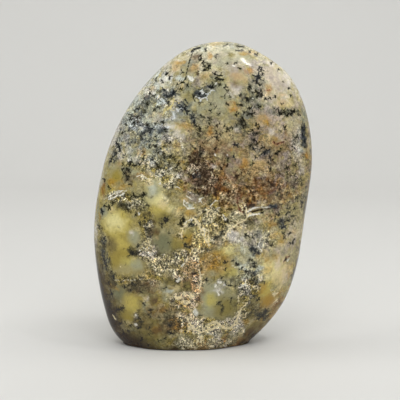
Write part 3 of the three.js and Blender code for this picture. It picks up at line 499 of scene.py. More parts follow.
# Moss: manganese and iron dendrites, near black, as single sprigs and as clusters that run together.
# Each is across, up and a half size, or a half width and half height, in millimetres.
MOSS = {
    "black": [
        (-27.3, 136.2), (-27, 134), (-25, 132.5), (-31, 129.4), (-28.5, 128.6), (-33.2, 126),
        (-29.7, 124.5), (-35.2, 125.1), (-24.2, 140.7), (-24, 126.4), (-22.6, 126.6), (-25.2, 125.4),
        (-33.4, 121.7), (-37, 122.6), (-1.2, 152.5), (-1.2, 150.7), (0.2, 149.3), (0.9, 147.5),
        (2.7, 146.3, 1.4), (1.2, 145.3), (3.3, 148), (8.4, 140.9, 2, 0.9), (6.2, 143.8, 0.7),
        (8.8, 143.2, 0.7), (4.8, 137), (-0.9, 129.6), (-3.9, 130.8), (-4.7, 132.5), (-8, 137.9),
        (-10.8, 139.4), (-11, 136), (-12.8, 138.1), (-16.6, 142), (-18, 143.8), (-10.4, 144.4),
        (6.8, 152.5, 0.7), (12.6, 149, 0.6), (16.8, 149.2, 0.7), (18.6, 146.6, 0.6), (12.4, 135),
        (11.1, 132.3), (13.8, 131.6), (11.4, 137), (8.7, 138.2), (12.3, 128.6), (3.7, 128.4),
        (6.7, 126.6), (3.9, 124.6), (8, 123.4), (17, 123.3, 1), (-1.5, 122.8), (0.3, 121.7),
        (3.6, 121.3), (1.8, 156.2), (24.1, 155, 0.6), (27.3, 153.3, 0.6), (35.5, 149, 0.6),
        (29.2, 146.8, 0.7), (30.4, 145.7, 0.6), (30.7, 143.5, 0.7), (29.4, 136), (27.8, 132.8),
        (31.8, 131), (34, 131.2, 0.7), (36.8, 131.8, 0.7), (19.2, 128.1), (21.2, 124.2),
        (24.6, 123.8, 3, 1.2), (28.5, 126.6), (18.9, 132.5), (38.5, 125.4), (40.4, 128.7, 0.8),
        (41, 139.3, 0.5), (44.6, 136.3, 0.5), (45.3, 132.8, 0.5), (38.6, 145.5, 0.7), (-37, 120.5),
        (-39.8, 117.9), (-41, 113.8), (-23.2, 112.3, 1.1), (-23.7, 119), (-28.5, 118.3),
        (-29.8, 104.2, 0.7), (-30.4, 100.7, 0.7), (-24.8, 107.3, 0.7), (-23.5, 107.3, 0.6),
        (-27.1, 106.5, 0.6), (-23.5, 104.5, 0.7), (-25.2, 102.3), (-20, 103.7), (-20, 101.2), (-20, 96),
        (-20, 93.5), (-20.2, 91), (-37, 99.2, 1.1), (-38, 97.7), (-34.8, 97.3), (-32, 98),
        (-40.8, 97.6, 0.8), (-40.9, 95.5), (-40.3, 93), (-50.8, 89.3), (-48.3, 85), (-36.8, 87.8),
        (-30.2, 83), (-8.3, 124), (-20.3, 119.4), (-18.4, 114.7), (7.3, 113.9), (9, 113.5), (6.9, 111.8),
        (12.8, 116, 1.2), (11, 117.5), (15.2, 116.7), (3.6, 121, 1.3), (3, 119.4), (-2.7, 117.4),
        (-1.2, 115.6), (-1.2, 106.6), (-0.9, 103.4), (-19, 107.3), (-16.2, 108.9), (-19.7, 103.7),
        (-16.2, 102.3), (-14.5, 101.2), (-17, 98.8), (-12.6, 98.6, 0.8, 1.4), (-12.6, 96), (12.5, 101),
        (6.3, 105.8), (-2.4, 84), (-18.8, 87), (-15.4, 87.7), (10.9, 88), (30.2, 106.8, 0.9),
        (27.2, 118.2), (28.2, 116), (46.4, 106.1, 0.9), (42, 116.5, 0.8), (39.2, 104.8), (37.6, 103.6),
        (26.6, 101.7), (25, 99, 0.6, 1.5), (34.2, 96), (33.5, 98.6), (43, 95.8), (43.1, 93.2),
        (46.6, 92.3), (48.2, 98.8), (47.2, 97), (39.4, 88.7), (39.5, 85.7), (50.8, 87.5), (-39.7, 82),
        (-46, 77.5, 1.5, 0.8), (-48.2, 75.2, 1.2), (-50.7, 76), (-36.8, 76.7, 1.2), (-36.8, 80.3, 0.6),
        (-35, 82.2, 0.6), (-34.8, 78.2, 0.6), (-30, 83, 0.8), (-32, 82, 1.3, 0.6), (-30.3, 80.2, 0.7),
        (-28.2, 77.8, 1), (-30, 76.5), (-33.7, 72.6, 1.5), (-54, 64.5, 0.8, 1.5), (-32, 68),
        (-29.3, 71.3), (-26.3, 69, 1, 1.5), (-29.1, 65.5), (-28.7, 63.7), (-28.2, 61), (-26.3, 61),
        (-20.6, 67), (-33, 56.3), (-37.3, 54, 1.2), (-36.2, 52.8), (-35.3, 51.8), (-37.3, 51.6),
        (-33, 52.5, 1.3), (-31, 53.8), (-24, 57, 0.7), (-21.5, 47.7), (-20.1, 70.4, 1.2),
        (-18, 70.2, 1.1), (-18.6, 69.2), (-20.7, 67.5, 0.8), (-10.2, 71, 1.1), (-9.6, 69.6),
        (-11.5, 68.2, 1.2, 1.5), (3.9, 78.2, 0.8), (0.6, 73.7), (-2.7, 68.3), (-0.7, 66.3), (-8.9, 61.5),
        (-9.3, 57.9, 1.3), (-8.5, 56.7), (-6.3, 56.7, 1.8, 0.7), (-17.4, 63.3, 0.6), (-17.2, 58.2, 0.6),
        (6.4, 66.8, 0.8), (8.5, 68.2), (5.3, 64.4), (12.4, 68.9), (6.3, 60.4), (6, 58.4), (1.8, 55.7),
        (4.5, 58.8), (-13.3, 51.2, 0.8), (-9.7, 46), (11.8, 48.2, 0.8, 1), (14.8, 48.6), (17.5, 47),
        (11.5, 44.5), (42.6, 72), (38.9, 68.8), (38.9, 71.8, 1.6, 1), (38, 82.8), (43.9, 74.9),
        (47.3, 75.3), (51, 77.5), (43.2, 68.6, 1.2, 0.8), (41.5, 62.5), (42.3, 60), (44.9, 61.5),
        (45.7, 56.6, 0.9), (33.2, 58.7, 0.9), (35.6, 56.3, 0.6, 1.6), (28.8, 56.8), (33.3, 61.8),
        (25.2, 61.7), (22.2, 62), (24.3, 49.3), (26.5, 47.8), (26.2, 46), (43.3, 47.8, 1, 1.4),
        (17.5, 47.2), (20, 45), (22.1, 43.8), (-32.6, 40.4), (-45.7, 40.6, 1, 1.5), (-41, 36.9),
        (-35.6, 37), (-40, 34.6, 1.4, 0.6), (-37.2, 33), (-32.1, 33, 0.7, 1.2), (-47.8, 31),
        (-47.3, 29.3), (-49.8, 28.3, 1.4), (-48.7, 23.5, 0.7, 2), (-41.3, 23.2, 1.3, 0.8),
        (-43, 21.8, 1.2, 0.8), (-45.7, 20, 1.1, 0.8), (-30.4, 26.5), (-32.2, 18), (-32.5, 16, 1.6, 0.9),
        (-33, 12.6, 1.5, 1), (-37.8, 13.3), (-43.4, 13), (-40.3, 14.9), (-27, 22.5, 0.8, 1.2),
        (-27.2, 19.8), (-28, 12, 1.2), (-27.5, 9.7), (-22.7, 5.8), (-28.8, 2.8), (-32, 6), (-39.5, 9.5),
        (-3.7, 37), (-13.8, 38.9), (-18.9, 34.7), (-11.6, 25.5), (14.6, 28, 1.3, 1.6),
        (8, 27.2, 1.4, 0.9), (10, 25, 0.8, 1), (9.8, 22.6, 0.7, 0.9), (1.8, 39), (9.7, 40.2), (11.8, 37),
        (13.6, 36.5, 0.8, 1), (16.4, 35.5), (-1.1, 20.5), (1.9, 17.4), (3.8, 16.2), (6.4, 9.6), (6.5, 8),
        (-16.2, 15), (-16.5, 10.3), (-19.2, 7.4), (22.3, 43.9), (25.4, 40.7), (24.3, 32, 2, 1.6),
        (25.4, 28.6), (28.6, 28, 0.9), (20.6, 21.3, 1.1), (23.7, 136.8, 1.4), (26.4, 134.6, 1.4),
        (22.8, 130.8, 1.4), (24.6, 126.6, 1.6, 1.2), (29.6, 133, 1), (25.4, 114.6, 1.2),
        (27, 113.3, 1.1), (26, 110.5, 1.2), (28, 108.5, 1.2), (24, 107.6, 1), (45.4, 124, 0.7),
        (37.4, 125.6, 0.7), (21.6, 117, 1.2), (22.6, 114.6, 1.1), (24.2, 112.4, 1.1), (-35.4, 118.8, 1),
        (48.2, 111.4, 0.9), (26.2, 22.2, 0.8, 1), (31, 18.4, 2.6, 1.7), (29, 16), (32.6, 14.5),
        (33.6, 19.5), (-39.2, 95.6, 0.7), (-40.2, 93.6, 0.6), (-38.4, 92, 0.7), (-37.6, 94.4, 0.6),
        (-38.6, 90.2, 0.6), (18.6, 119.6, 0.9), (20.6, 117.8, 0.8), (17, 118, 0.7), (41.6, 124.8, 0.4),
        (43.6, 122.8, 0.5), (47, 124.8, 0.5), (49.4, 122.6, 0.4), (39.6, 123.4, 0.4),
    ],
    "blue_black": [
        (-31, 112.9, 1.4), (-26.5, 116, 2.6, 1.8), (-14.7, 134.4, 1.6), (-18.2, 132.5, 2.8, 1.6),
        (-15.6, 133.2, 1.2), (-17, 128.4, 1.2), (-20.2, 136.3), (-9.4, 126, 1), (-8.3, 124.6, 1.6),
        (-1.5, 133.4, 2.8, 1.7), (3.8, 136.6, 1.4, 1.1), (28, 141.5, 1.1), (-44.5, 108.2, 1),
        (-43, 106.3, 1), (-42.5, 104.8), (-45.2, 102, 0.8), (-46.8, 100.5, 1, 1.4), (-47.4, 98.7, 0.8),
        (-5.6, 121.8, 1.2), (-4.2, 119.2, 1.2, 1.8), (51.3, 112.5, 1.5, 2.4), (52.6, 109.5, 1.4, 2.6),
        (52.4, 117.3, 1), (30.7, 104, 2, 1.5), (34.2, 101.2, 1.2), (25.7, 105.8), (32.8, 105, 1),
        (-3.3, 92.3, 2, 1.6), (-51.3, 58.5, 1.4, 2), (-52, 51.3, 0.8, 2.6), (-51.2, 47, 0.8, 2),
        (-48.7, 48, 0.7, 1.4), (-50.3, 44.5, 0.7, 2), (36.3, 76.5, 2, 1), (25.3, 55.3, 1.6, 1.4),
        (26.6, 54, 1.4, 1.2), (27.8, 52.9, 1.5, 0.9), (9.8, 64.2, 1.2, 0.9), (-6.2, 68.2, 1.5),
        (26, 42.3, 1.5), (41.3, 65.8, 2, 1.5), (40.6, 69, 1, 1.4), (15.9, 101.5, 1.2, 0.8),
        (16.7, 107.7, 1.6, 1.2), (-52.5, 73, 1, 1),
    ],
    "brown_black": [
        (-2.7, 144.4, 1), (-6.5, 101.5, 1.2), (-2.4, 99.8, 1.6, 1.8), (-5.3, 98.9, 1.8, 1.6),
        (1.8, 97, 2, 1.2), (1.2, 93.3, 1.5, 3), (1.6, 89.1, 1.1, 1.6), (-33.6, 121.2, 2.2, 1.6),
        (7.3, 117.7, 0.8), (1.2, 108.8, 1.5, 0.8), (7.2, 85, 2.6, 1.6), (1.5, 83.8, 1.9, 1.4),
        (34.6, 87.2, 1.4, 1), (33.1, 89), (35.6, 100), (9, 96.4, 1.4), (5, 88, 1.4), (-3, 87.6, 1.3),
        (12, 97.4, 1.2), (17, 92, 1.2), (20, 94), (24, 86.2, 1.2), (28, 84.6), (25.8, 76.3, 1),
        (9, 73.4, 0.7), (-2, 29.3, 0.8), (-15.4, 27.7, 1), (-4.8, 42.3, 1.2), (-2.7, 48.2, 0.8),
        (-44.6, 5.4, 1.8, 3), (-42, 8, 1.4, 2), (0.9, 83.3, 1.6), (6.9, 84.5, 1.4), (-4, 96, 1.6, 1.4),
    ],
}

# Moss that runs on as veins, arcs and branches: the half width, then the points along it.
BRANCHES = {
    "black": [
        (0.34, (-5, 155), (-6.5, 151), (-7.3, 148), (-8, 146), (-8.4, 142.3), (-9.4, 140.2)),
        (0.6, (-5.6, 155), (-3.8, 156.5), (-1.8, 157.1)),
        (0.35, (10.8, 157.6), (13, 159)),
        (0.5, (17, 155.5), (20.7, 155.5)),
        (0.6, (17.7, 157.6), (20.7, 157.4)),
        (0.5, (-21.5, 140.5), (-20.3, 139.2)),
        (0.7, (27.2, 139.5), (28.8, 137.9)),
        (0.25, (36, 124.6), (38.4, 124.2)),
        (0.25, (43.4, 123.6), (45.8, 123.4)),
        (0.7, (-26.2, 100.8), (-23.3, 98.7), (-21.8, 96)),
        (0.4, (-1.5, 122.8), (0.9, 121.5)),
        (0.5, (20, 121.5), (21.6, 119)),
        (0.5, (-6.2, 107.8), (-3.8, 105.9)),
        (0.55, (6, 60.8), (8.2, 61.6), (10.8, 62.8), (10.2, 64.6)),
        (0.4, (45.7, 56.6), (47.4, 58.4)),
        (0.4, (21, 87.6), (22.5, 86.4)),
        (0.5, (-32.6, 40.4), (-29.5, 39.8)),
        (0.35, (28.4, 73.1), (30.6, 73.8)),
        (0.45, (-46.2, 20), (-41.6, 23)),
    ],
    "blue_black": [
        (0.5, (-44.5, 108.2), (-43, 106.3), (-42.5, 104.8)),
        (0.45, (-45.2, 102), (-46.8, 100.5), (-47.4, 98.7)),
        (0.35, (28, 141.5), (28.4, 145.6)),
        (0.35, (28, 141.5), (25.2, 143)),
        (0.35, (28, 141.5), (25.6, 139.8)),
        (0.35, (28, 141.5), (30.6, 140.2)),
        (0.35, (28, 141.5), (30.8, 142.8)),
        (0.35, (28, 141.5), (27.2, 138.2)),
        (0.32, (-14, 130.4), (-11.4, 127.8), (-8, 124.2)),
        (0.3, (-13, 127.8), (-10.4, 125)),
        (0.3, (-11, 129.8), (-8.8, 127.8), (-6.8, 126.8)),
        (0.3, (-9.4, 131), (-7.2, 128.6)),
    ],
    "maroon": [
        (0.4, (32.5, 135.2), (34.6, 135.3)),
        (0.45, (35.8, 109.3), (37.6, 108), (41.3, 109.2)),
        (0.4, (17.6, 80.8), (18.2, 77.5), (19.4, 74)),
        (0.4, (42.2, 46.6), (43, 49.4), (45, 49.6)),
    ],
}
# What tinges the moss, the warm clouds, the cool clouds and the frost in each part of the stone, each
# with the tinge that holds everywhere else first
INK_ZONES = [
    (22, 22, 16), ((26, 29, 32), -30, 118, 26, 22), ((36, 27, 18), 8, 96, 22, 20),
    ((36, 27, 18), 34, 92, 16, 14), ((46, 28, 14), 24, 80, 20, 8), ((32, 28, 14), -20, 40, 50, 44),
    ((56, 56, 46), 30, 130, 20, 24),
]
WARM_ZONES = [
    (158, 142, 74), ((180, 176, 160), 6, 154, 30, 10), ((172, 148, 104), -6, 144, 10, 8),
    ((150, 134, 104), 4, 112, 18, 12), ((162, 138, 88), 30, 106, 15, 20), ((140, 90, 46), 8, 92, 18, 12),
    ((144, 108, 60), 32, 86, 16, 8), ((178, 162, 112), 4, 66, 18, 9), ((162, 124, 48), 2, 50, 12, 8),
    ((190, 156, 116), -6, 36, 8, 16), ((182, 158, 92), 38, 52, 14, 18),
    ((176, 164, 128), -22, 50, 15, 9), ((190, 182, 160), 34, 138, 20, 14),
    ((150, 148, 130), 4, 132, 14, 10), ((172, 130, 62), 39, 18, 12, 14),
    ((170, 166, 140), -42, 112, 12, 16), ((178, 168, 144), 48, 110, 9, 22),
    ((170, 164, 134), 24, 58, 9, 9), ((176, 164, 140), 48, 60, 8, 16), ((150, 116, 60), -20, 16, 16, 9),
    ((152, 112, 62), 14, 2, 22, 6), ((142, 112, 58), -30, 35, 10, 5),
]
COOL_ZONES = [
    (142, 138, 108), ((170, 178, 178), -28, 124, 22, 26), ((164, 152, 150), 34, 112, 24, 44),
    ((128, 112, 104), 6, 94, 20, 14), ((112, 110, 80), -10, 24, 50, 26),
    ((168, 160, 156), 22, 60, 16, 8), ((132, 110, 66), 36, 16, 14, 16), ((150, 132, 88), 2, 50, 14, 14),
]
LIGHT_ZONES = [
    (236, 228, 200), ((222, 228, 226), -28, 122, 24, 28), ((228, 220, 206), 38, 124, 18, 32),
    ((234, 226, 188), 4, 68, 16, 8), ((228, 210, 184), -6, 32, 12, 20), ((234, 224, 214), -29, 53, 8, 6),
    ((228, 208, 176), 10, 92, 20, 14), ((212, 186, 144), 30, 86, 16, 10),
    ((236, 220, 160), -2, 60, 6, 5), ((226, 218, 204), 18, 16, 12, 16), ((230, 228, 216), 6, 156, 30, 8),
    ((228, 220, 208), 24, 48, 9, 14),
]
INKS = {
    "black": (22, 22, 16),
    "blue_black": (26, 29, 32),
    "brown_black": (36, 27, 18),
    "maroon": (70, 44, 34),
}

# Lace: chalcedony and quartz in fine pale veins, curls and crusts between the pools, and one painted
# glint beside the druzy pit.
LACE = {
    "white": [
        (-25, 134, 0.8), (-6, 141.4, 1.5, 1.3), (-7.5, 142.3, 0.6), (6.7, 138.9, 0.8), (0, 134.3, 0.6),
        (-17.6, 135.5, 0.7), (-18.6, 140.8, 1.4, 1), (16, 147.7, 0.7), (24.9, 131.3, 0.6),
        (23, 129.2, 0.5), (-37.7, 100, 0.8), (-21.7, 88.6, 0.6), (-16.1, 96.4, 0.8), (6.3, 102.7, 0.7),
        (12.3, 102.5, 0.6), (-1.2, 80.3, 0.7), (-8.6, 79, 0.9), (-6.2, 70, 0.6), (11.5, 70.3, 0.6),
        # (44.5, 47.6) on the next line is a painted glint beside the druzy pit, not lace
        (-32.1, 73.1, 0.8), (44.5, 47.6, 0.8, 1), (-12, 39.2, 1.2), (6.9, 8.7, 0.7), (35.7, 32.4, 0.7),
        (-12.5, 91.9, 1.2), (-3.5, 22, 1.2, 1.6), (-34.5, 19.4, 0.7, 1), (-35, 14.4, 0.8, 0.6),
        (6.6, 36, 0.6, 1.6), (8.2, 33, 0.9, 1.2), (8.6, 31.4, 0.6, 1), (9, 37.8, 1.6, 0.5),
        (10.8, 36.6, 0.6, 0.6), (9.8, 33, 0.6, 0.5), (7.4, 34.6, 0.5, 0.6),
    ],
    "cream": [
        (-22.6, 131.3, 0.5, 1.4), (-15, 130, 0.7, 2.6), (-27.2, 99, 0.8), (-27.4, 96.3, 0.8),
        (-27.2, 67, 0.6, 0.9), (-9, 67.8, 1), (-11.2, 11.3, 1.4, 0.6), (-6.3, 13.5, 1.4, 1.8),
        (37.3, 30, 1.8, 1.4), (38.7, 25, 1.2, 1.6), (30.7, 77.2, 0.8), (-47.2, 47.6, 0.5),
        (-42.3, 45.3, 0.5), (-12.4, 29.6, 2, 1.6), (-8.8, 26.8, 2, 1.4), (-6, 30.4, 1.6, 1.4),
        (-9.8, 31.6, 1.8, 1),
    ],
}
VEINS = {
    "ice": [
        (0.7, (-20.8, 131.4), (-19.6, 129.8), (-18.3, 128.6)),
        (0.6, (-22.8, 132.4), (-22.6, 130.8)),
        (0.5, (-3.6, 132.2), (-1.2, 130.7), (1.6, 131.8), (4.4, 135.2)),
        (0.5, (0, 135.6), (-0.2, 133.4)),
        (1, (-15, 123.8), (-14.2, 121.6)),
        (0.6, (-21.8, 117.4), (-19.4, 117), (-17.4, 116.2)),
        (0.5, (-25.2, 118.2), (-24, 116.6)),
        (0.7, (-13.4, 126.4), (-12.2, 124.6)),
    ],
    "yellow": [
        (1, (-14.6, 130.6), (-15.2, 128.2), (-17.4, 125.8), (-19.8, 124.4)),
    ],
    "white": [
        (0.45, (-7.5, 142.3), (-5.6, 139.4), (-3.9, 142)),
        (0.4, (1.8, 131.6), (0.2, 130.8), (-1.5, 130.7)),
        (0.45, (25.5, 128.7), (26.2, 127.4), (24.9, 126.3)),
        (0.35, (-30.4, 91.2), (-26.8, 90.8)),
        (0.4, (-5, 93.5), (-2, 95.5)),
        (0.5, (-39, 84.6), (-41.2, 83)),
        (0.6, (-39.6, 83.4), (-42.6, 81.6)),
        (0.6, (-41, 84.8), (-43.8, 82.6)),
        (0.6, (-42.6, 84.4), (-44, 83.6)),
        (0.6, (-42.8, 82), (-45.8, 80.4)),
        (0.6, (-44, 83.4), (-46.6, 81.8)),
        (0.6, (-46, 82.2), (-48.2, 80.6)),
        (0.6, (-46, 80.4), (-48.8, 79.2)),
        (0.5, (-48.4, 80.6), (-50.6, 79.4)),
        (0.4, (-37.8, 79), (-36.6, 78), (-35.6, 77)),
        (0.7, (-9.6, 80.4), (-9.4, 77.6), (-7.4, 75.4), (-4.4, 75.8)),
        (0.35, (-7.4, 84.6), (-5, 82.8), (-2, 82.4)),
        (0.35, (-8.4, 82.4), (-6, 80.6), (-3, 80.6), (0.6, 81.6)),
        (0.35, (-4, 78.6), (-1, 79.4), (0.6, 78)),
        (0.5, (-9.6, 67), (-8.4, 69.4), (-6, 70.8)),
        (0.6, (11.4, 70.6), (10.2, 72.6)),
        (1, (-10.8, 46.6), (-9.4, 47.8)),
        (0.4, (6.2, 79.9), (7.8, 79.6)),
        (0.4, (7.2, 76), (8.8, 76.5)),
        (1.1, (23.2, 74.5), (25, 75.5), (26.6, 75.7)),
        (0.6, (26.6, 75.8), (30, 76.3), (34.6, 76.4)),
        (0.9, (23.8, 72.3), (26, 72.6), (28.4, 73.1)),
        (0.32, (-46.5, 38), (-43.7, 38), (-41.2, 37.7), (-38.7, 38.6), (-35.5, 38.7), (-31.3, 39.3),
        (-30, 39.3)),
        (0.6, (18.4, 35.4), (22.2, 35.8)),
        (0.5, (21.8, 37), (21.9, 40)),
        (0.5, (29.4, 60.2), (28.6, 56.4), (30.6, 53)),
        (0.5, (-32.4, 54), (-30.4, 55.6), (-28.2, 54.6), (-26.2, 56.6)),
        (0.5, (-31, 51.8), (-28.6, 52.8), (-26.6, 51.4), (-24.8, 52.8)),
        (0.6, (-5, 71), (-3.2, 70.6), (-1.6, 68)),
        (0.5, (0.6, 66), (1.6, 64.4), (0.8, 62.6)),
        (0.5, (3.4, 76.4), (4.6, 77.8), (6.4, 80)),
        (0.4, (-14, 86.8), (-12.8, 87), (-11.6, 85.8)),
        (0.5, (18.6, 37.4), (20.6, 36), (22.6, 37.4)),
        (0.5, (28.2, 41.6), (30.2, 40.6), (31, 39.4)),
        (0.6, (15, 46.4), (17, 45.2)),
        (0.45, (-29.6, 100.4), (-28, 100.8), (-26.6, 99.4), (-25.8, 97.2)),
        (0.5, (-28.4, 99), (-27, 98)),
        (0.4, (-34, 91.8), (-31.6, 92.4), (-28.6, 91.6)),
    ],
    "cream": [
        (0.4, (4.2, 94.6), (5, 93.4), (4.2, 92.2)),
        (1.1, (-5, 71), (-3.2, 70.4), (-1.8, 67.6), (-0.8, 64.6), (0.8, 61.6), (2.4, 59), (3.6, 57)),
        (0.7, (-0.6, 66.2), (1.6, 65.8), (3.2, 64), (2.6, 61.6)),
        (0.6, (-10, 66.8), (-10.6, 63.6), (-10.4, 60.6)),
        (0.8, (24.2, 73.3), (22.4, 71.3), (21, 69.8), (17, 67.4), (13.4, 65.4), (10.6, 61)),
        (0.6, (-5.6, 50), (-3, 52.6), (0.6, 54.6)),
        (0.6, (-10, 47.8), (-7.6, 50.4), (-5, 55)),
        (0.5, (-2, 46), (-2.4, 50), (-4, 54)),
        (0.7, (27.6, 41.3), (29.2, 40.2), (30.7, 39.2)),
        (1.3, (-8, 18.6), (-6, 13.4), (-1, 10.6), (5, 12.6), (8.7, 14.6), (12.2, 11.7), (15, 12.6),
        (18, 17.6)),
        (1, (2.8, 15.2), (6, 17), (8.7, 15.5)),
        (0.9, (-3.4, 4), (-2, 7), (0.4, 8.4)),
        (0.8, (22.9, 26.5), (20.2, 23.7), (19.4, 21.8), (18, 18), (18, 14.4), (15, 12.5)),
        (0.6, (21.2, 23), (22.6, 20.3), (22.3, 17.7)),
        (0.5, (21.2, 12), (21, 7)),
        (0.7, (-2, 45), (-1, 38), (-2, 33)),
        (0.6, (-47, 17.8), (-45.8, 15.5)),
        (0.5, (2.2, 74.4), (4.2, 75.2), (6.2, 74), (6.4, 71.6), (4.4, 70.4), (2.4, 71.4), (2.2, 74.4)),
        (0.45, (5, 68), (7.6, 68), (8, 65.8), (5.4, 65.2)),
        (0.5, (10.6, 70), (9.2, 72), (7.4, 72.8)),
        (0.5, (23.5, 38), (24.6, 36), (28, 35.6), (29, 33.6), (27.4, 32.4)),
        (0.5, (18.6, 26.6), (18, 30.4), (20.4, 33.4)),
        (0.5, (-32, 92.4), (-29, 91.6), (-26, 90), (-27, 88.6)),
        (0.5, (-30.4, 90.4), (-28, 89.4), (-25.4, 91)),
        (0.3, (23.6, 74.4), (21.4, 76.2), (20.4, 79)),
        (0.3, (22.6, 74), (20, 75.4), (18.6, 78)),
        (0.3, (23, 73), (19.4, 73), (16, 74.4)),
    ],
}
LACE_COLOURS = {
    "white": (224, 222, 212),
    "cream": (226, 214, 178),
    "ice": (212, 216, 216),
    "yellow": (208, 196, 140),
}

# Where the face carries a dust of fine moss, frosty flecks or crackle, and how thickly
DUST = [
    (8, 150, 26, 10, 0.1), (-24, 130, 18, 18, 0.26), (2, 130, 18, 14, 0.14), (26, 132, 14, 12, 0.14),
    (38, 138, 12, 16, 0.08), (-32, 108, 18, 14, 0.27), (2, 108, 12, 12, 0.28), (26, 112, 14, 12, 0.2),
    (42, 108, 12, 14, 0.18), (-24, 98, 10, 12, 0.24), (0, 92, 13, 13, 0.4), (30, 88, 20, 12, 0.22),
    (18, 80, 14, 8, 0.46), (2, 76, 14, 8, 0.24), (42, 76, 14, 12, 0.34), (26, 56, 12, 10, 0.16),
    (-26, 66, 6, 16, 0.22), (-24, 46, 12, 10, 0.2), (-8, 48, 12, 8, 0.26), (24, 36, 8, 12, 0.4),
    (-38, 36, 12, 6, 0.34), (-16, 18, 8, 10, 0.34), (-36, 14, 12, 10, 0.28), (4, 10, 24, 8, 0.12),
    (-40, 78, 10, 6, 0.36), (52, 88, 8, 16, 0.32), (30, 18, 8, 8, 0.3), (6, 68, 10, 6, 0.3),
]
FROST = [
    (-20, 134, 12, 12, 0.3), (-34, 104, 14, 10, 0.5), (-4, 102, 18, 10, 0.26), (26, 108, 14, 12, 0.14),
    (4, 90, 14, 12, 0.16), (4, 74, 16, 8, 0.34), (-24, 62, 6, 16, 0.24), (-24, 50, 12, 8, 0.4),
    (-9, 46, 10, 8, 0.36), (26, 40, 10, 12, 0.3), (-10, 26, 12, 14, 0.4), (6, 12, 24, 10, 0.36),
    (30, 58, 14, 12, 0.4), (-20, 88, 10, 10, 0.4), (30, 84, 18, 10, 0.16), (0, 128, 30, 14, 0.12),
    (30, 136, 16, 14, 0.14), (-30, 124, 16, 20, 0.4),
]
CRACKLE = [
    (-28, 53, 6, 5, 0.7), (-20, 48, 8, 5, 0.8), (-9, 50, 8, 6, 0.8), (-12, 42, 6, 5, 0.6),
    (-9, 28, 7, 5, 1), (-8, 16, 7, 7, 0.8), (4, 14, 10, 5, 0.9), (15, 13, 7, 7, 0.6),
    (20, 23, 4, 9, 0.5), (0, 4, 18, 5, 0.6), (23, 34, 6, 7, 0.7), (0, 60, 7, 8, 0.7), (5, 70, 9, 7, 0.7),
    (18, 70, 8, 5, 0.6), (-3, 98, 10, 8, 0.4), (-16, 92, 8, 7, 0.6), (-3, 38, 3, 8, 0.8),
    (-28, 66, 4, 10, 0.5), (30, 60, 9, 7, 0.4), (12, 60, 7, 5, 0.5), (-43, 81, 7, 3, 0.8),
    (-26, 40, 5, 4, 0.6), (8, 86, 12, 8, 0.5), (-38, 38, 10, 2.4, 0.3), (28, 88, 18, 10, 0.36),
    (-22, 126, 10, 8, 0.3), (-16, 104, 8, 10, 0.4), (24, 112, 10, 10, 0.16), (-34, 78, 6, 4, 0.5),
    (-2, 116, 10, 8, 0.15), (-25, 96, 8, 6, 0.5), (46, 96, 8, 16, 0.22), (-36, 116, 8, 8, 0.4),
    (26, 130, 6, 8, 0.1), (5, 49, 6, 4, 0.5),
]
CLEAR = [
    (-44.5, 93, 4, 5.4), (-25.5, 84, 5.6, 8), (-44, 67, 9, 9), (-42, 56, 8, 8), (-41, 47, 8, 6),
    (-36, 60, 4, 4.4), (-34, 46, 5, 4), (-20, 58.4, 6, 6.4), (-21, 74.4, 5.4, 5), (-42, 31, 6, 4.4),
    (-37.6, 26, 5.6, 6), (-39, 18, 4, 4), (-26, 12, 9, 6), (-24, 66, 3, 6), (10, 25, 10.4, 9),
    (4, 30, 5, 8), (-7.4, 35.8, 3.4, 2.6), (32.4, 31, 4, 6), (34, 26, 4, 4), (40, 42, 5, 9),
    (14, 43, 4.4, 3.6), (-7.4, 60.6, 3.4, 3.4), (15.4, 62.4, 3.4, 3.2), (-22, 67.6, 3, 4),
    (-12.4, 57, 3.4, 3), (28, 11, 6, 4), (-16, 36, 4, 4),
]

# Where little grows between the sprigs
CALM = [
    (17, 141, 6, 7, 0.8), (9, 132, 6, 5, 0.6), (-25, 129, 5, 5, 0.7), (-14, 116, 6, 4, 0.7),
    (-25, 122, 5, 3, 0.7), (39, 142, 9, 8, 0.7), (-10, 147, 5, 5, 0.6), (14, 152, 14, 5, 0.5),
    (-13, 124, 4, 3, 0.6), (-8, 132, 4, 3, 0.6), (2, 124, 6, 5, 0.4), (40, 132, 6, 6, 0.5),
    (-20, 139, 4, 3, 0.5), (30.4, 121, 3.4, 3, 0.6), (1.8, 62, 2.4, 3, 0.6), (-6, 73, 3, 1.5, 0.6),
    (13, 55.4, 3.6, 2.4, 0.7), (34, 47.6, 4, 3, 0.6), (34.4, 114.4, 2, 3, 0.5), (29.4, 98, 4, 3, 0.4),
    # (-52, 90) on the next line keeps moss off the painted reflection on the left rim
    (-52, 90, 3, 5, 0.6), (-27, 93.4, 4, 2, 0.5), (51, 96, 2.4, 4, 0.4), (-14, 105.5, 3, 2.4, 0.5),
    (-9, 91, 2.4, 2, 0.4), (-1, 1, 4, 2, 0.4),
]

# Painted shade: where the stone is painted darker, towards brown, near the rims low on the front
PAINTED_SHADE_SPOTS = [
    (-59, 24, 11, 26, 1), (-54, 12, 12, 18, 1), (-46, -1, 22, 11, 1), (-12, -4, 40, 5.4, 0.9),
    (36, -3, 18, 12, 1), (46, 4, 12, 11, 0.9), (55, 34, 7, 22, 0.6), (-60, 46, 7, 12, 0.5),
    (-24, 23, 5, 5, 0.2),
]

# The back and the sides carry the same kinds of patch, moss and lace, strewn by a fixed seed: how many
# of each, and how far back they start
STREWN_SEED = 23
STREWN_POOLS = 18
STREWN_PATCHES = 150
STREWN_CLUSTERS = 26
CLUSTER_SPRIGS = 12
STREWN_MOSS = 120
STREWN_LACE = 60
STREWN_FROM = 1.5
FLAT_BACK = 11
STREWN_POOL_COLOURS = ["olive_gold", "green_cream", "pool_gold", "blue_grey", "olive"]
STREWN_COLOURS = [
    "pink_cream", "cream", "ice", "lilac", "grey_green", "slate", "orange", "gold", "olive", "rust",
]
STREWN_INKS = ["black", "black", "blue_black", "brown_black"]

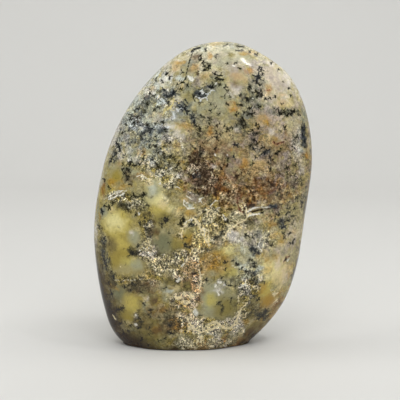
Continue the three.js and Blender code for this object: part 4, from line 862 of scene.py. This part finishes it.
# How the edge of a mark wanders and tears: the grain of a noise in millimetres, and how much of it
WANDER = [(3.4, 0.9), (1.3, 0.35)]
WANDER_MOST = 2.0
WANDER_SEED = 4
TEAR = [(2.6, 1), (1.1, 0.7)]

# How thickly each kind of spot covers, how far its edge tears, and where it starts to fade and where
# it has faded, in its half sizes
SLAB_COVER = 0.9
POOL_COVER = 0.95
PATCH_COVER = 0.7
STREWN_POOL_COVER = 0.92
STREWN_CLOUD = 0.6
PATCH_TEAR = 0.75
POOL_TEAR = 0.25
ZONE_TEAR = 0.5
CLOUD_TEAR = 0.4
PATCH_FADE = (0.25, 1.4)
ZONE_FADE = (0.4, 1.3)
WIDE_FADE = (0.55, 1.35)
CLOUD_FADE = (0.2, 1.6)
CLEAR_FADE = (0.6, 1.25)
CLEAR_BACK_FADE = (0.5, 1.1)
CRUST_FADE = (0.7, 1.3)
DEPTH_SHARE = 0.6
POOL_REACH = 1.8
CLEAR_REACH = 1.4

# In millimetres: the edge of the painted shade in the slit, how deep the painted shade on the low rims
# goes, and the crackle beside a vein
SLIT_FADE = (0.1, 0.75)
SLIT_SHADE = 0.95
SHADE_DEPTHS = (-4, 10)
VEIN_CRACKLE = 0.6
VEIN_CRACKLE_REACH = 2.6

# How far back a line drawn on the front reaches, and how far forward one on the back does
FRONT_UNTIL = 6
BACK_FROM = 4
LINE_ROOM = 3
LINE_WANDER = 0.5

# The sprigs and twigs of the moss: the turn of an arm in radians, and lengths in millimetres
SPRIG_SEED = 8
BLOT = 0.52
SMALL_SPRIG = 0.8
ARM_SCATTER = 0.4
ARM_BEND = 0.7
ARM_SHARES = (0.6, 1)
ARM_TIPS = (0.3, 0.7)
ARM_WIDTHS = (0.18, 0.34)
TWIG_EVERY = 1.3
TWIG_TURNS = (0.5, 1.7)
TWIG_SHARES = (0.8, 2)
TWIG_LEAST = 0.2
TWIG_TIP = 0.6
TWIG_WIDTH = 0.24

count = len(mesh.vertices)
points = np.empty(count * 3)
mesh.vertices.foreach_get("co", points)
points = points.reshape(-1, 3) / MM
order = np.lexsort((points[:, 1], points[:, 0], points[:, 2]))
points = points[order]
places = [Vector(p) for p in points]
noise.seed_set(WANDER_SEED)
warp = np.array([
    sum((noise.noise_vector(p / size) * far for size, far in WANDER), Vector()) for p in places
])
torn = np.array([sum(share * noise.noise(p / size) for size, share in TEAR) for p in places])
warped = points + warp

front_rows = np.nonzero(points[:, 1] < FINE_UNTIL)[0]
front_tree = KDTree(len(front_rows))
for row in front_rows:
    front_tree.insert((points[row, 0], 0, points[row, 2]), int(row))
front_tree.balance()


def on_front(x, z):
    """The place on the front of the stone straight behind a point given across and up."""
    row = front_tree.find((x, 0, z))[1]
    return np.array((x, points[row, 1], z))


def near(spot, wide, tall, reach=2):
    """Rows of the vertices within reach of a spot, and how many of its half sizes each is away."""
    low = np.searchsorted(points[:, 2], spot[2] - reach * tall - WANDER_MOST)
    high = np.searchsorted(points[:, 2], spot[2] + reach * tall + WANDER_MOST)
    off = warped[low:high] - spot
    level = off[:, 0] ** 2 + DEPTH_SHARE * off[:, 1] ** 2
    away = np.sqrt(level / wide ** 2 + (off[:, 2] / tall) ** 2)
    keep = away < reach
    return np.arange(low, high)[keep], away[keep]


def all_through(x, z, wide, tall):
    """How many half sizes each vertex is away from a spot that goes right through the slab."""
    return np.hypot((warped[:, 0] - x) / wide, (warped[:, 2] - z) / tall)


def linear(colour):
    """A colour as the shader wants it, from 0 to 255 as it shows."""
    share = np.array(colour, float) / 255
    return np.where(share <= 0.04045, share / 12.92, ((share + 0.055) / 1.055) ** 2.4)


def soft_step(value, start, end):
    """0 below start and 1 above end, with a soft slope between."""
    share = np.clip((value - start) / (end - start), 0, 1)
    return share * share * (3 - 2 * share)


def sized(entry, plain=0.8):
    """A spot's across, up, half width and half height, whichever of them it states."""
    x, z, *size = entry
    wide = size[0] if size else plain
    tall = size[1] if len(size) > 1 else wide
    return x, z, wide, tall


# Ground colours, laid over each other from the widest to the smallest
ground = np.tile(linear(COLOURS["khaki"]), (count, 1))


def paint(rows, away, name, most=PATCH_COVER, tear=PATCH_TEAR):
    """Lays a colour on, thick in the middle of a patch and torn at its edge."""
    cover = most * (1 - soft_step(away + tear * torn[rows], *PATCH_FADE))
    ground[rows] += (linear(COLOURS[name]) - ground[rows]) * cover[:, None]


for name, x, z, wide, tall in THROUGH:
    paint(np.arange(count), all_through(x, z, wide, tall), name, SLAB_COVER)
for name, x, z, wide, tall in POOLS:
    paint(*near(on_front(x, z), wide, tall, POOL_REACH), name, POOL_COVER, POOL_TEAR)
for name, entries in PATCHES.items():
    for entry in entries:
        x, z, wide, tall = sized(entry, 1.4)
        paint(*near(on_front(x, z), wide, tall), name)


def tinges(zones):
    """One colour over all the stone, with the zones' own colours laid over it."""
    tinge = np.tile(linear(zones[0]), (count, 1))
    for colour, *zone in zones[1:]:
        cover = 1 - soft_step(all_through(*zone) + ZONE_TEAR * torn, *ZONE_FADE)
        tinge += (linear(colour) - tinge) * cover[:, None]
    return tinge


# Moss and lace are kept as how strong a mark is, 1 in its middle, a half at its edge and 0 at twice
# that, and as the colour that it has there
moss_and_slit_shade = np.zeros(count)
ink_colour = tinges(INK_ZONES)
moss_layer = (moss_and_slit_shade, ink_colour)
lace = np.zeros(count)
lace_colour = np.tile(linear(LACE_COLOURS["cream"]), (count, 1))
lace_layer = (lace, lace_colour)


def mark(layer, rows, away, colour):
    """Leaves a mark where it is stronger than what is there."""
    strengths, colours = layer
    strength = 1 - away / 2
    stronger = strength > strengths[rows]
    rows = rows[stronger]
    strengths[rows] = strength[stronger]
    colours[rows] = linear(colour)


def stroke(layer, width, line, colour, behind=False):
    """Draws a line of that half width on the front of the stone, or on the back."""
    ups = [z for _, z in line]
    low, high = np.searchsorted(points[:, 2], (min(ups) - LINE_ROOM, max(ups) + LINE_ROOM))
    rows = np.arange(low, high)
    rows = rows[points[rows, 1] > BACK_FROM if behind else points[rows, 1] < FRONT_UNTIL]
    softened = points[rows] + LINE_WANDER * warp[rows]
    away, _ = along_line(softened[:, 0], softened[:, 2], line)
    near_line = away < 2 * width
    mark(layer, rows[near_line], away[near_line] / width, colour)


def elbowed(x, z, way, wide, tall, bend, tip):
    """A line that runs one way and then bends: its root, its elbow and its tip."""
    elbow_x, elbow_z = x + wide * math.cos(way), z + tall * math.sin(way)
    return [(x, z), (elbow_x, elbow_z), (elbow_x + tip * math.cos(bend), elbow_z + tip * math.sin(bend))]


def sprigs(dice, x, z, wide, tall):
    """The bent arms that grow out of a blot of moss, each as the points along it."""
    turn = dice.uniform(0, 2 * math.pi)
    arms = 5 if wide > SMALL_SPRIG else 4
    for arm in range(arms):
        way = turn + 2 * math.pi * (arm + dice.uniform(-ARM_SCATTER, ARM_SCATTER)) / arms
        bend = dice.uniform(-ARM_BEND, ARM_BEND)
        far = dice.uniform(*ARM_SHARES)
        yield elbowed(x, z, way, far * wide, far * tall, way + bend, dice.uniform(*ARM_TIPS))


def twigs(dice, width, line):
    """Short bent twigs that grow to both sides of a vein, each as the points along it."""
    for (ax, az), (bx, bz) in zip(line, line[1:]):
        along = math.atan2(bz - az, bx - ax)
        steps = max(int(math.hypot(bx - ax, bz - az) / TWIG_EVERY), 1)
        for step in range(steps):
            share = (step + dice.random()) / steps
            x, z = ax + (bx - ax) * share, az + (bz - az) * share
            way = along + dice.choice((-1, 1)) * dice.uniform(*TWIG_TURNS)
            far = width * dice.uniform(*TWIG_SHARES) + TWIG_LEAST
            yield elbowed(x, z, way, far, far, way + dice.uniform(-1, 1), TWIG_TIP * far)


dice = random.Random(SPRIG_SEED)
for name, entries in MOSS.items():
    for entry in entries:
        x, z, wide, tall = sized(entry)
        mark(moss_layer, *near(on_front(x, z), BLOT * wide, BLOT * tall), INKS[name])
        for line in sprigs(dice, x, z, wide, tall):
            stroke(moss_layer, dice.uniform(*ARM_WIDTHS), line, INKS[name])
for name, entries in BRANCHES.items():
    for width, *line in entries:
        stroke(moss_layer, width, line, INKS[name])
for name, entries in LACE.items():
    for entry in entries:
        x, z, wide, tall = sized(entry)
        mark(lace_layer, *near(on_front(x, z), wide, tall), LACE_COLOURS[name])
for name, entries in VEINS.items():
    for width, *line in entries:
        stroke(lace_layer, 0.5 * width, line, LACE_COLOURS[name])
        for twig in twigs(dice, width, line) if name != "white" else ():
            stroke(lace_layer, TWIG_WIDTH, twig, LACE_COLOURS[name])


def thickness(spots):
    """How thickly wide spots cover each vertex, from spots with a strength after their half sizes."""
    thick = np.zeros(count)
    for *spot, most in spots:
        thick = np.maximum(thick, most * (1 - soft_step(all_through(*spot), *WIDE_FADE)))
    return thick


def thicken(thick, rows, values):
    """Raises what covers some vertices to new values, where it is less."""
    thick[rows] = np.maximum(thick[rows], values)


def becloud(spot, wide, tall, most):
    """Lays one blurred cloud of moss round a spot."""
    rows, away = near(spot, wide, tall)
    thicken(cloud, rows, most * (1 - soft_step(away + CLOUD_TEAR * torn[rows], *CLOUD_FADE)))


dust = thickness(DUST)
cloud = np.zeros(count)
for x, z, wide, tall, most in CLOUDS:
    becloud(on_front(x, z), wide, tall, most)
frost = thickness(FROST)
crackle = thickness(CRACKLE)
for width, *line in VEINS["cream"]:
    away, _ = along_line(warped[:, 0], warped[:, 2], line)
    fading = VEIN_CRACKLE * soft_step(away, width, VEIN_CRACKLE_REACH * width)
    beside = np.where(points[:, 1] < FRONT_UNTIL, VEIN_CRACKLE - fading, 0)
    crackle = np.maximum(crackle, beside)
# Painted shade, dark brown, on the low rims of the front, fading towards the back
painted_shade = thickness(PAINTED_SHADE_SPOTS) * (1 - soft_step(points[:, 1], *SHADE_DEPTHS))
clear = np.zeros(count)
for x, z, wide, tall in CLEAR:
    rows, away = near(on_front(x, z), wide, tall, CLEAR_REACH)
    thicken(clear, rows, 1 - soft_step(away, *CLEAR_FADE))
clear = np.maximum(clear, thickness(CALM) * (points[:, 1] < FRONT_UNTIL))

dice = random.Random(STREWN_SEED)
behind = np.nonzero(points[:, 1] > STREWN_FROM)[0]
for _ in range(STREWN_POOLS):
    spot = points[dice.choice(behind)]
    name = dice.choice(STREWN_POOL_COLOURS)
    rows, away = near(spot, dice.uniform(5, 12), dice.uniform(5, 11))
    rows, away = rows[points[rows, 1] > 0], away[points[rows, 1] > 0]
    paint(rows, away, name, STREWN_POOL_COVER)
    thicken(clear, rows, 1 - soft_step(away, *CLEAR_BACK_FADE))
for _ in range(STREWN_PATCHES):
    spot = points[dice.choice(behind)]
    name = dice.choice(STREWN_COLOURS)
    paint(*near(spot, dice.uniform(1.4, 4), dice.uniform(1.2, 3.4)), name)
flat_back = np.nonzero(points[:, 1] > FLAT_BACK)[0]
for _ in range(STREWN_CLUSTERS):
    spot = points[dice.choice(flat_back)]
    name = dice.choice(STREWN_INKS)
    spread = dice.uniform(3, 8)
    becloud(spot, spread, spread * dice.uniform(0.5, 1.2), STREWN_CLOUD)
    for _ in range(CLUSTER_SPRIGS):
        x, z = dice.gauss(spot[0], 0.8 * spread), dice.gauss(spot[2], 0.6 * spread)
        wide = dice.uniform(0.5, 1.3)
        for line in sprigs(dice, x, z, wide, wide * dice.uniform(0.7, 1.2)):
            stroke(moss_layer, dice.uniform(*ARM_WIDTHS), line, INKS[name], behind=True)
for _ in range(STREWN_MOSS):
    spot = points[dice.choice(behind)]
    name = dice.choice(STREWN_INKS)
    wide = dice.uniform(0.5, 1.2)
    mark(moss_layer, *near(spot, wide, wide * dice.uniform(0.6, 1.3)), INKS[name])
for _ in range(STREWN_LACE):
    spot = points[dice.choice(behind)]
    rows, away = near(spot, dice.uniform(0.5, 1.5), dice.uniform(0.5, 1.5))
    mark(lace_layer, rows, away, LACE_COLOURS[dice.choice(["white", "cream"])])

# Crusts that the polish never reached are dull, and the slit of the fissure gets painted shade, laid in
# with the moss
crust = np.zeros(count)
for x, z, wide, tall, *_ in ROUGH:
    away = all_through(x, z, wide, tall)
    crust = np.maximum(crust, np.where(points[:, 1] < 0, 1 - soft_step(away, *CRUST_FADE), 0))
away, _ = along_line(points[:, 0], points[:, 2], FISSURE)
slit = np.where(points[:, 1] < 0, 1 - soft_step(away, *SLIT_FADE), 0)
# The slit's painted shade joins the moss marks
moss_and_slit_shade = np.maximum(moss_and_slit_shade, slit * SLIT_SHADE)


def keep(name, values):
    """Leaves a number or a colour on each vertex, where the shader reads it."""
    if values.ndim == 1:
        sheet = np.empty(count)
        sheet[order] = values
        mesh.attributes.new(name, "FLOAT", "POINT").data.foreach_set("value", sheet)
    else:
        sheet = np.ones((count, 4))
        sheet[order, :3] = values
        mesh.attributes.new(name, "FLOAT_COLOR", "POINT").data.foreach_set("color", sheet.ravel())


kept = {
    "ground": ground, "ink_colour": ink_colour, "warm_colour": tinges(WARM_ZONES),
    "cool_colour": tinges(COOL_ZONES), "light_colour": tinges(LIGHT_ZONES), "lace_colour": lace_colour,
    "moss_and_slit_shade": moss_and_slit_shade, "lace": lace, "dust": dust, "cloud": cloud, "frost": frost, "crackle": crackle,
    "clear": clear, "crust": crust, "painted_shade": painted_shade,
}
for name, values in kept.items():
    keep(name, values)


class Wire:
    """One socket of the stone's shader. Sums written on it become Math nodes."""

    tree = None

    def __init__(self, socket):
        self.socket = socket

    @classmethod
    def node(cls, kind, settings=None, inputs=None, out=0):
        node = cls.tree.nodes.new(kind)
        for name, value in (settings or {}).items():
            setattr(node, name, value)
        for name, value in (inputs or {}).items():
            if isinstance(value, Wire):
                cls.tree.links.new(value.socket, node.inputs[name])
            else:
                node.inputs[name].default_value = value
        return cls(node.outputs[out]) if node.outputs else None

    def sum(self, operation, first, second):
        return Wire.node("ShaderNodeMath", {"operation": operation}, {0: first, 1: second})

    def __add__(self, other):
        return self.sum("ADD", self, other)

    def __radd__(self, other):
        return self.sum("ADD", other, self)

    def __sub__(self, other):
        return self.sum("SUBTRACT", self, other)

    def __rsub__(self, other):
        return self.sum("SUBTRACT", other, self)

    def __mul__(self, other):
        return self.sum("MULTIPLY", self, other)

    def __rmul__(self, other):
        return self.sum("MULTIPLY", other, self)

    def either(self, other):
        return self.sum("MAXIMUM", self, other)

    def size(self):
        return self.sum("ABSOLUTE", self, 0.0)

    def step(self, start, end):
        """0 below start and 1 above end, with a soft slope between."""
        return Wire.node(
            "ShaderNodeMapRange",
            {"interpolation_type": "SMOOTHSTEP"},
            {"Value": self, "From Min": start, "From Max": end},
        )

    def over(self, under, cover):
        """This colour laid over another one, by how far it covers."""
        return Wire.node("ShaderNodeMix", {"data_type": "RGBA"}, {0: cover, 6: under, 7: self}, out=2)

    def brighter(self, by):
        return Wire.node("ShaderNodeVectorMath", {"operation": "SCALE"}, {0: self, "Scale": by})


material = bpy.data.materials.new("dendritic_agate")
material.use_nodes = True
material.node_tree.nodes.clear()
Wire.tree = material.node_tree
stone_place = Wire.node("ShaderNodeTexCoord", out=3)


def field(name, out=2):
    """A number that the vertices carry, or with out=0 a colour."""
    return Wire.node("ShaderNodeAttribute", {"attribute_name": name}, out=out)


def grain(size, detail=4.0, rough=0.6, shift=(0, 0, 0), bend=0.0):
    """Cloudy noise with grains of that size in millimetres."""
    moved = Wire.node("ShaderNodeVectorMath", {"operation": "ADD"}, {0: stone_place, 1: shift})
    sizes = {"Vector": moved, "Scale": 1 / (size * MM), "Detail": detail, "Roughness": rough}
    return Wire.node("ShaderNodeTexNoise", inputs=sizes | {"Distortion": bend})


def hairs(size, shift, bend, width):
    """Thin curling lines, like hairs, the wider the larger the width is."""
    return (1 - (grain(size, 2, 0.55, shift, bend) - 0.5).size() * (1 / width)).step(0, 0.8)


def flat_colour(colour):
    return tuple(linear(colour)) + (1,)


def tint(cover, under, colour):
    """One flat colour laid over another, by how far it covers."""
    laid = {0: cover, 6: under, 7: flat_colour(colour)}
    return Wire.node("ShaderNodeMix", {"data_type": "RGBA"}, laid, out=2)


# The colours that the shader adds of its own, from 0 to 255: pale silica, and the brown of the painted
# shade on the low rims
PALE_SILICA = (204, 195, 160)
SHADE_BROWN = (50, 29, 3)

# Noise of every kind of grain in the stone, each shifted to a place of its own
ragged = grain(1.3, 4, 0.7, bend=0.4)
fleck = grain(2.3, 3, 0.68, (0.3, 0.1, 0.2), 1.2)
frosty = grain(1.9, 3, 0.66, (0.7, 0.4, 0.1), 1.4)
deep = grain(2.6, 3, 0.62, (0.1, 0.6, 0.4), 0.5)
blotch = grain(5.5, 2, 0.5, (0.2, 0.5, 0.9))
blush = grain(7.5, 2, 0.45, (0.5, 0.8, 0.3), 0.8)
pale = grain(5.5, 2, 0.5, (0.9, 0.2, 0.6), 0.8)
cool = grain(7.0, 2, 0.45, (0.2, 0.9, 0.8), 0.8)
speck = grain(0.95, 1, 0.5, (0.4, 0.9, 0.7), 0.6)
pale_hairs = hairs(3.4, (0.2, 0.7, 0.5), 1.2, 0.045).either(hairs(2.1, (0.9, 0.3, 0.1), 1.2, 0.042))
dark_hairs = hairs(2.7, (0.8, 0.2, 0.7), 1.4, 0.045)
black_hairs = hairs(2.6, (0.6, 0.7, 0.2), 1.6, 0.04)
lace_hairs = hairs(1.7, (0.3, 0.6, 0.2), 1.3, 0.075)

# How far the moss, its blur, the frost, the crusts and the lace cover each place
open_face = 1 - field("clear")
clumps = field("dust") * open_face * (0.45 + deep.step(0.4, 0.6) * 1.1)
density = (field("moss_and_slit_shade") * 1.1).either(clumps + field("crackle") * 0.2).either(field("cloud") * 0.72)
growth = (fleck - 0.5) * 0.85 + black_hairs * 0.14 + density * 0.42 - field("clear") * 0.07
moss = growth.step(0.25, 0.36)
murk = growth.step(0.15, 0.28)
deep_moss = ((deep - 0.5) * 1.4 + field("cloud") * 0.5).step(0.1, 0.46)
frosted = ((frosty - 0.5) + field("frost") * open_face * 0.24).step(0.18, 0.25)
crusty = (field("crackle") + field("frost") * 0.3 + (blotch - 0.5) * 1.4).step(0.3, 0.8)
veins = (field("lace") + (ragged - 0.5) * 2.2).step(0.42, 0.7)
hair_cover = open_face * (0.24 + density * 0.5 + field("crackle") * 0.6)
grit = open_face * (1 + field("dust") * 3) + field("crackle") * 2.6

# The body of the stone, from the ground colour up through blurred moss, frost and moss to the lace
ink_shade = field("ink_colour", out=0)
light_shade = field("light_colour", out=0)
body = field("ground", out=0)
body = field("warm_colour", out=0).over(body, blush.step(0.48, 0.64) * open_face * 0.55)
body = tint(pale.step(0.5, 0.62) * open_face * (0.24 + field("frost") * 0.5), body, PALE_SILICA)
body = field("cool_colour", out=0).over(body, cool.step(0.49, 0.65) * open_face * 0.55)
body = body.brighter(1.32 + (blotch - 0.5) * 0.6 * open_face - field("crackle") * 0.5)
body = ink_shade.brighter(5).over(body, deep_moss * 0.72)
body = ink_shade.brighter(6).over(body, murk * 0.6)
body = ink_shade.brighter(4).over(body, dark_hairs * hair_cover)
body = light_shade.over(body.brighter(1.6), 0.35).over(body, frosted * 0.75)
strands = field("warm_colour", out=0).brighter(1.4).over(light_shade, blush.step(0.46, 0.58))
body = strands.over(body, pale_hairs * crusty)
body = body.brighter(1 + (speck - 0.5) * (0.3 + open_face * (0.5 + field("crackle") * 2.6)))
body = body.brighter(1 + (ragged - 0.5) * grit + (lace_hairs - 0.45) * field("crackle") * 1.3)
body = ink_shade.over(body, moss * (0.88 - field("crackle") * 0.26))
# Painted shade: the low rims of the front turn dark brown
body = tint(field("painted_shade") * 0.94, body, SHADE_BROWN)
body = field("lace_colour", out=0).brighter(0.3 + frosty * 0.9 + speck * 0.6).over(body, veins * 0.85)
body = Wire.node("ShaderNodeGamma", inputs={"Color": body, "Gamma": 1.15}).brighter(1.14)

dull = field("crust")
relief = (1 - ragged) * dull * 1.0 + veins * 0.08 + blotch * 0.12
bump = Wire.node("ShaderNodeBump", inputs={"Strength": 0.35, "Distance": 0.25 * MM, "Height": relief})
polished = {
    "Base Color": body,
    "Roughness": 0.13 + veins * 0.12 + dull * 0.4,
    "Normal": bump,
    "IOR": 1.54,
    "Specular IOR Level": 0.3,
    "Subsurface Weight": 0.12,
    "Subsurface Radius": (1.0, 0.85, 0.5),
    "Subsurface Scale": 1.6 * MM,
}
surface = Wire.node("ShaderNodeBsdfPrincipled", inputs=polished)
Wire.node("ShaderNodeOutputMaterial", inputs={"Surface": surface})
mesh.materials.append(material)
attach(agate, "root")
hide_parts("agate_freeform")


# The set: one pale matt sheet that lies under the stone and sweeps up behind it. It is no part of
# the stone. Its sizes are in metres.

SHEET_HALF = 3.0
SHEET_FRONT = -2.0
SWEEP_START = 0.7
SWEEP_RADIUS = 0.5
SWEEP_STEPS = 16
SHEET_TOP = 2.6
SHEET_COLOUR = (208, 207, 203)
SHEET_ROUGHNESS = 0.75

sheet = bmesh.new()
strip = [sheet.verts.new((-SHEET_HALF, SHEET_FRONT, 0)), sheet.verts.new((-SHEET_HALF, SWEEP_START, 0))]
edges = [sheet.edges.new(strip)]
hub = Vector((-SHEET_HALF, SWEEP_START, SWEEP_RADIUS))
for step in range(1, SWEEP_STEPS + 1):
    turn = math.pi / 2 * step / SWEEP_STEPS
    strip.append(sheet.verts.new(hub + SWEEP_RADIUS * Vector((0, math.sin(turn), -math.cos(turn)))))
    edges.append(sheet.edges.new(strip[-2:]))
strip.append(sheet.verts.new((-SHEET_HALF, SWEEP_START + SWEEP_RADIUS, SHEET_TOP)))
edges.append(sheet.edges.new(strip[-2:]))
swept = bmesh.ops.extrude_edge_only(sheet, edges=edges)["geom"]
far_side = [g for g in swept if isinstance(g, bmesh.types.BMVert)]
bmesh.ops.translate(sheet, verts=far_side, vec=(2 * SHEET_HALF, 0, 0))
bmesh.ops.recalc_face_normals(sheet, faces=sheet.faces[:])
sheet_mesh = bpy.data.meshes.new("backdrop")
sheet.to_mesh(sheet_mesh)
sheet.free()
for face in sheet_mesh.polygons:
    face.use_smooth = True
paper = bpy.data.materials.new("pale_paper")
paper.use_nodes = True
matt = paper.node_tree.nodes["Principled BSDF"].inputs
matt["Base Color"].default_value = flat_colour(SHEET_COLOUR)
matt["Roughness"].default_value = SHEET_ROUGHNESS
sheet_mesh.materials.append(paper)
backdrop = bpy.data.objects.new("backdrop", sheet_mesh)
bpy.context.scene.collection.objects.link(backdrop)


# The camera: level with the photograph's, a little above the stone and looking slightly down. One
# pixel of its picture, 400 pixels wide, is 0.527 mm at the stone.

CAMERA_AIM = Vector((-1.4, 0, 77.6)) * MM
CAMERA_AWAY = 545 * MM
CAMERA_TILT = math.radians(7)
FRAME_AT_STONE = 0.527 * 400 * MM
SENSOR = 36

CAMERA_BACK = Vector((0, -math.cos(CAMERA_TILT), math.sin(CAMERA_TILT)))
camera_data = bpy.data.cameras.new("camera")
camera_data.sensor_width = SENSOR
camera_data.lens = SENSOR * CAMERA_AWAY / FRAME_AT_STONE
camera = bpy.data.objects.new("camera", camera_data)
camera.location = CAMERA_AIM + CAMERA_BACK * CAMERA_AWAY
camera.rotation_euler = (-CAMERA_BACK).to_track_quat("-Z", "Y").to_euler()
bpy.context.scene.collection.objects.link(camera)
bpy.context.scene.camera = camera


# The light: a wide soft one high in front, a weaker one from each side, one that washes the sheet
# behind, and a small one whose reflection is the bright streak near the top of the stone. Each has
# its place, what it aims at and its size in metres, and its power in watts.

HEART = (0, 0, 0.1)
LAMPS = {
    "key": ((0.1, -1.0, 1.5), HEART, (1.4, 1.0), 19),
    "left_fill": ((-1.2, -0.2, 1.3), HEART, (0.8, 0.8), 6),
    "right_fill": ((1.2, -0.2, 1.3), HEART, (0.8, 0.8), 4),
    "wall_wash": ((0, 0.3, 1.7), (0, 1.2, 0.5), (2.4, 0.6), 12),
}
STREAK_AT = (21.5, 149.6)
STREAK_LAMP_AWAY = 0.9
STREAK_LAMP_SIZE = (0.016, 0.24)
STREAK_WATTS = 1.2
STREAK_TURN = math.radians(-22)
ROOM_COLOUR = (232, 236, 240)
ROOM_LIGHT = 0.22


def soft_light(name, place, aim, size, watts):
    data = bpy.data.lights.new(name, "AREA")
    data.shape = "RECTANGLE"
    data.size, data.size_y = size
    data.energy = watts
    lamp = bpy.data.objects.new(name, data)
    lamp.location = place
    lamp.rotation_euler = (Vector(aim) - Vector(place)).to_track_quat("-Z", "Y").to_euler()
    bpy.context.scene.collection.objects.link(lamp)
    return lamp


# Of these lamps the polish mirrors only the one that washes the sheet
for name, lamp in LAMPS.items():
    soft_light(name, *lamp).visible_glossy = name == "wall_wash"

# The streak's lamp stands where the polish near the top mirrors it into the camera
spot = front_tree.find((STREAK_AT[0], 0, STREAK_AT[1]))[1]
facing = mesh.vertices[int(order[spot])].normal
seen_at = Vector(points[spot]) * MM
to_eye = (CAMERA_AIM + CAMERA_BACK * CAMERA_AWAY - seen_at).normalized()
mirrored = 2 * facing.dot(to_eye) * facing - to_eye
lamp_at = seen_at + mirrored * STREAK_LAMP_AWAY
streak = soft_light("streak", lamp_at, seen_at, STREAK_LAMP_SIZE, STREAK_WATTS)
streak.rotation_euler.rotate_axis("Z", STREAK_TURN)

world = bpy.data.worlds.new("room")
world.use_nodes = True
room = world.node_tree.nodes["Background"].inputs
room["Color"].default_value = flat_colour(ROOM_COLOUR)
room["Strength"].default_value = ROOM_LIGHT
bpy.context.scene.world = world
bpy.context.scene.view_settings.view_transform = "Standard"
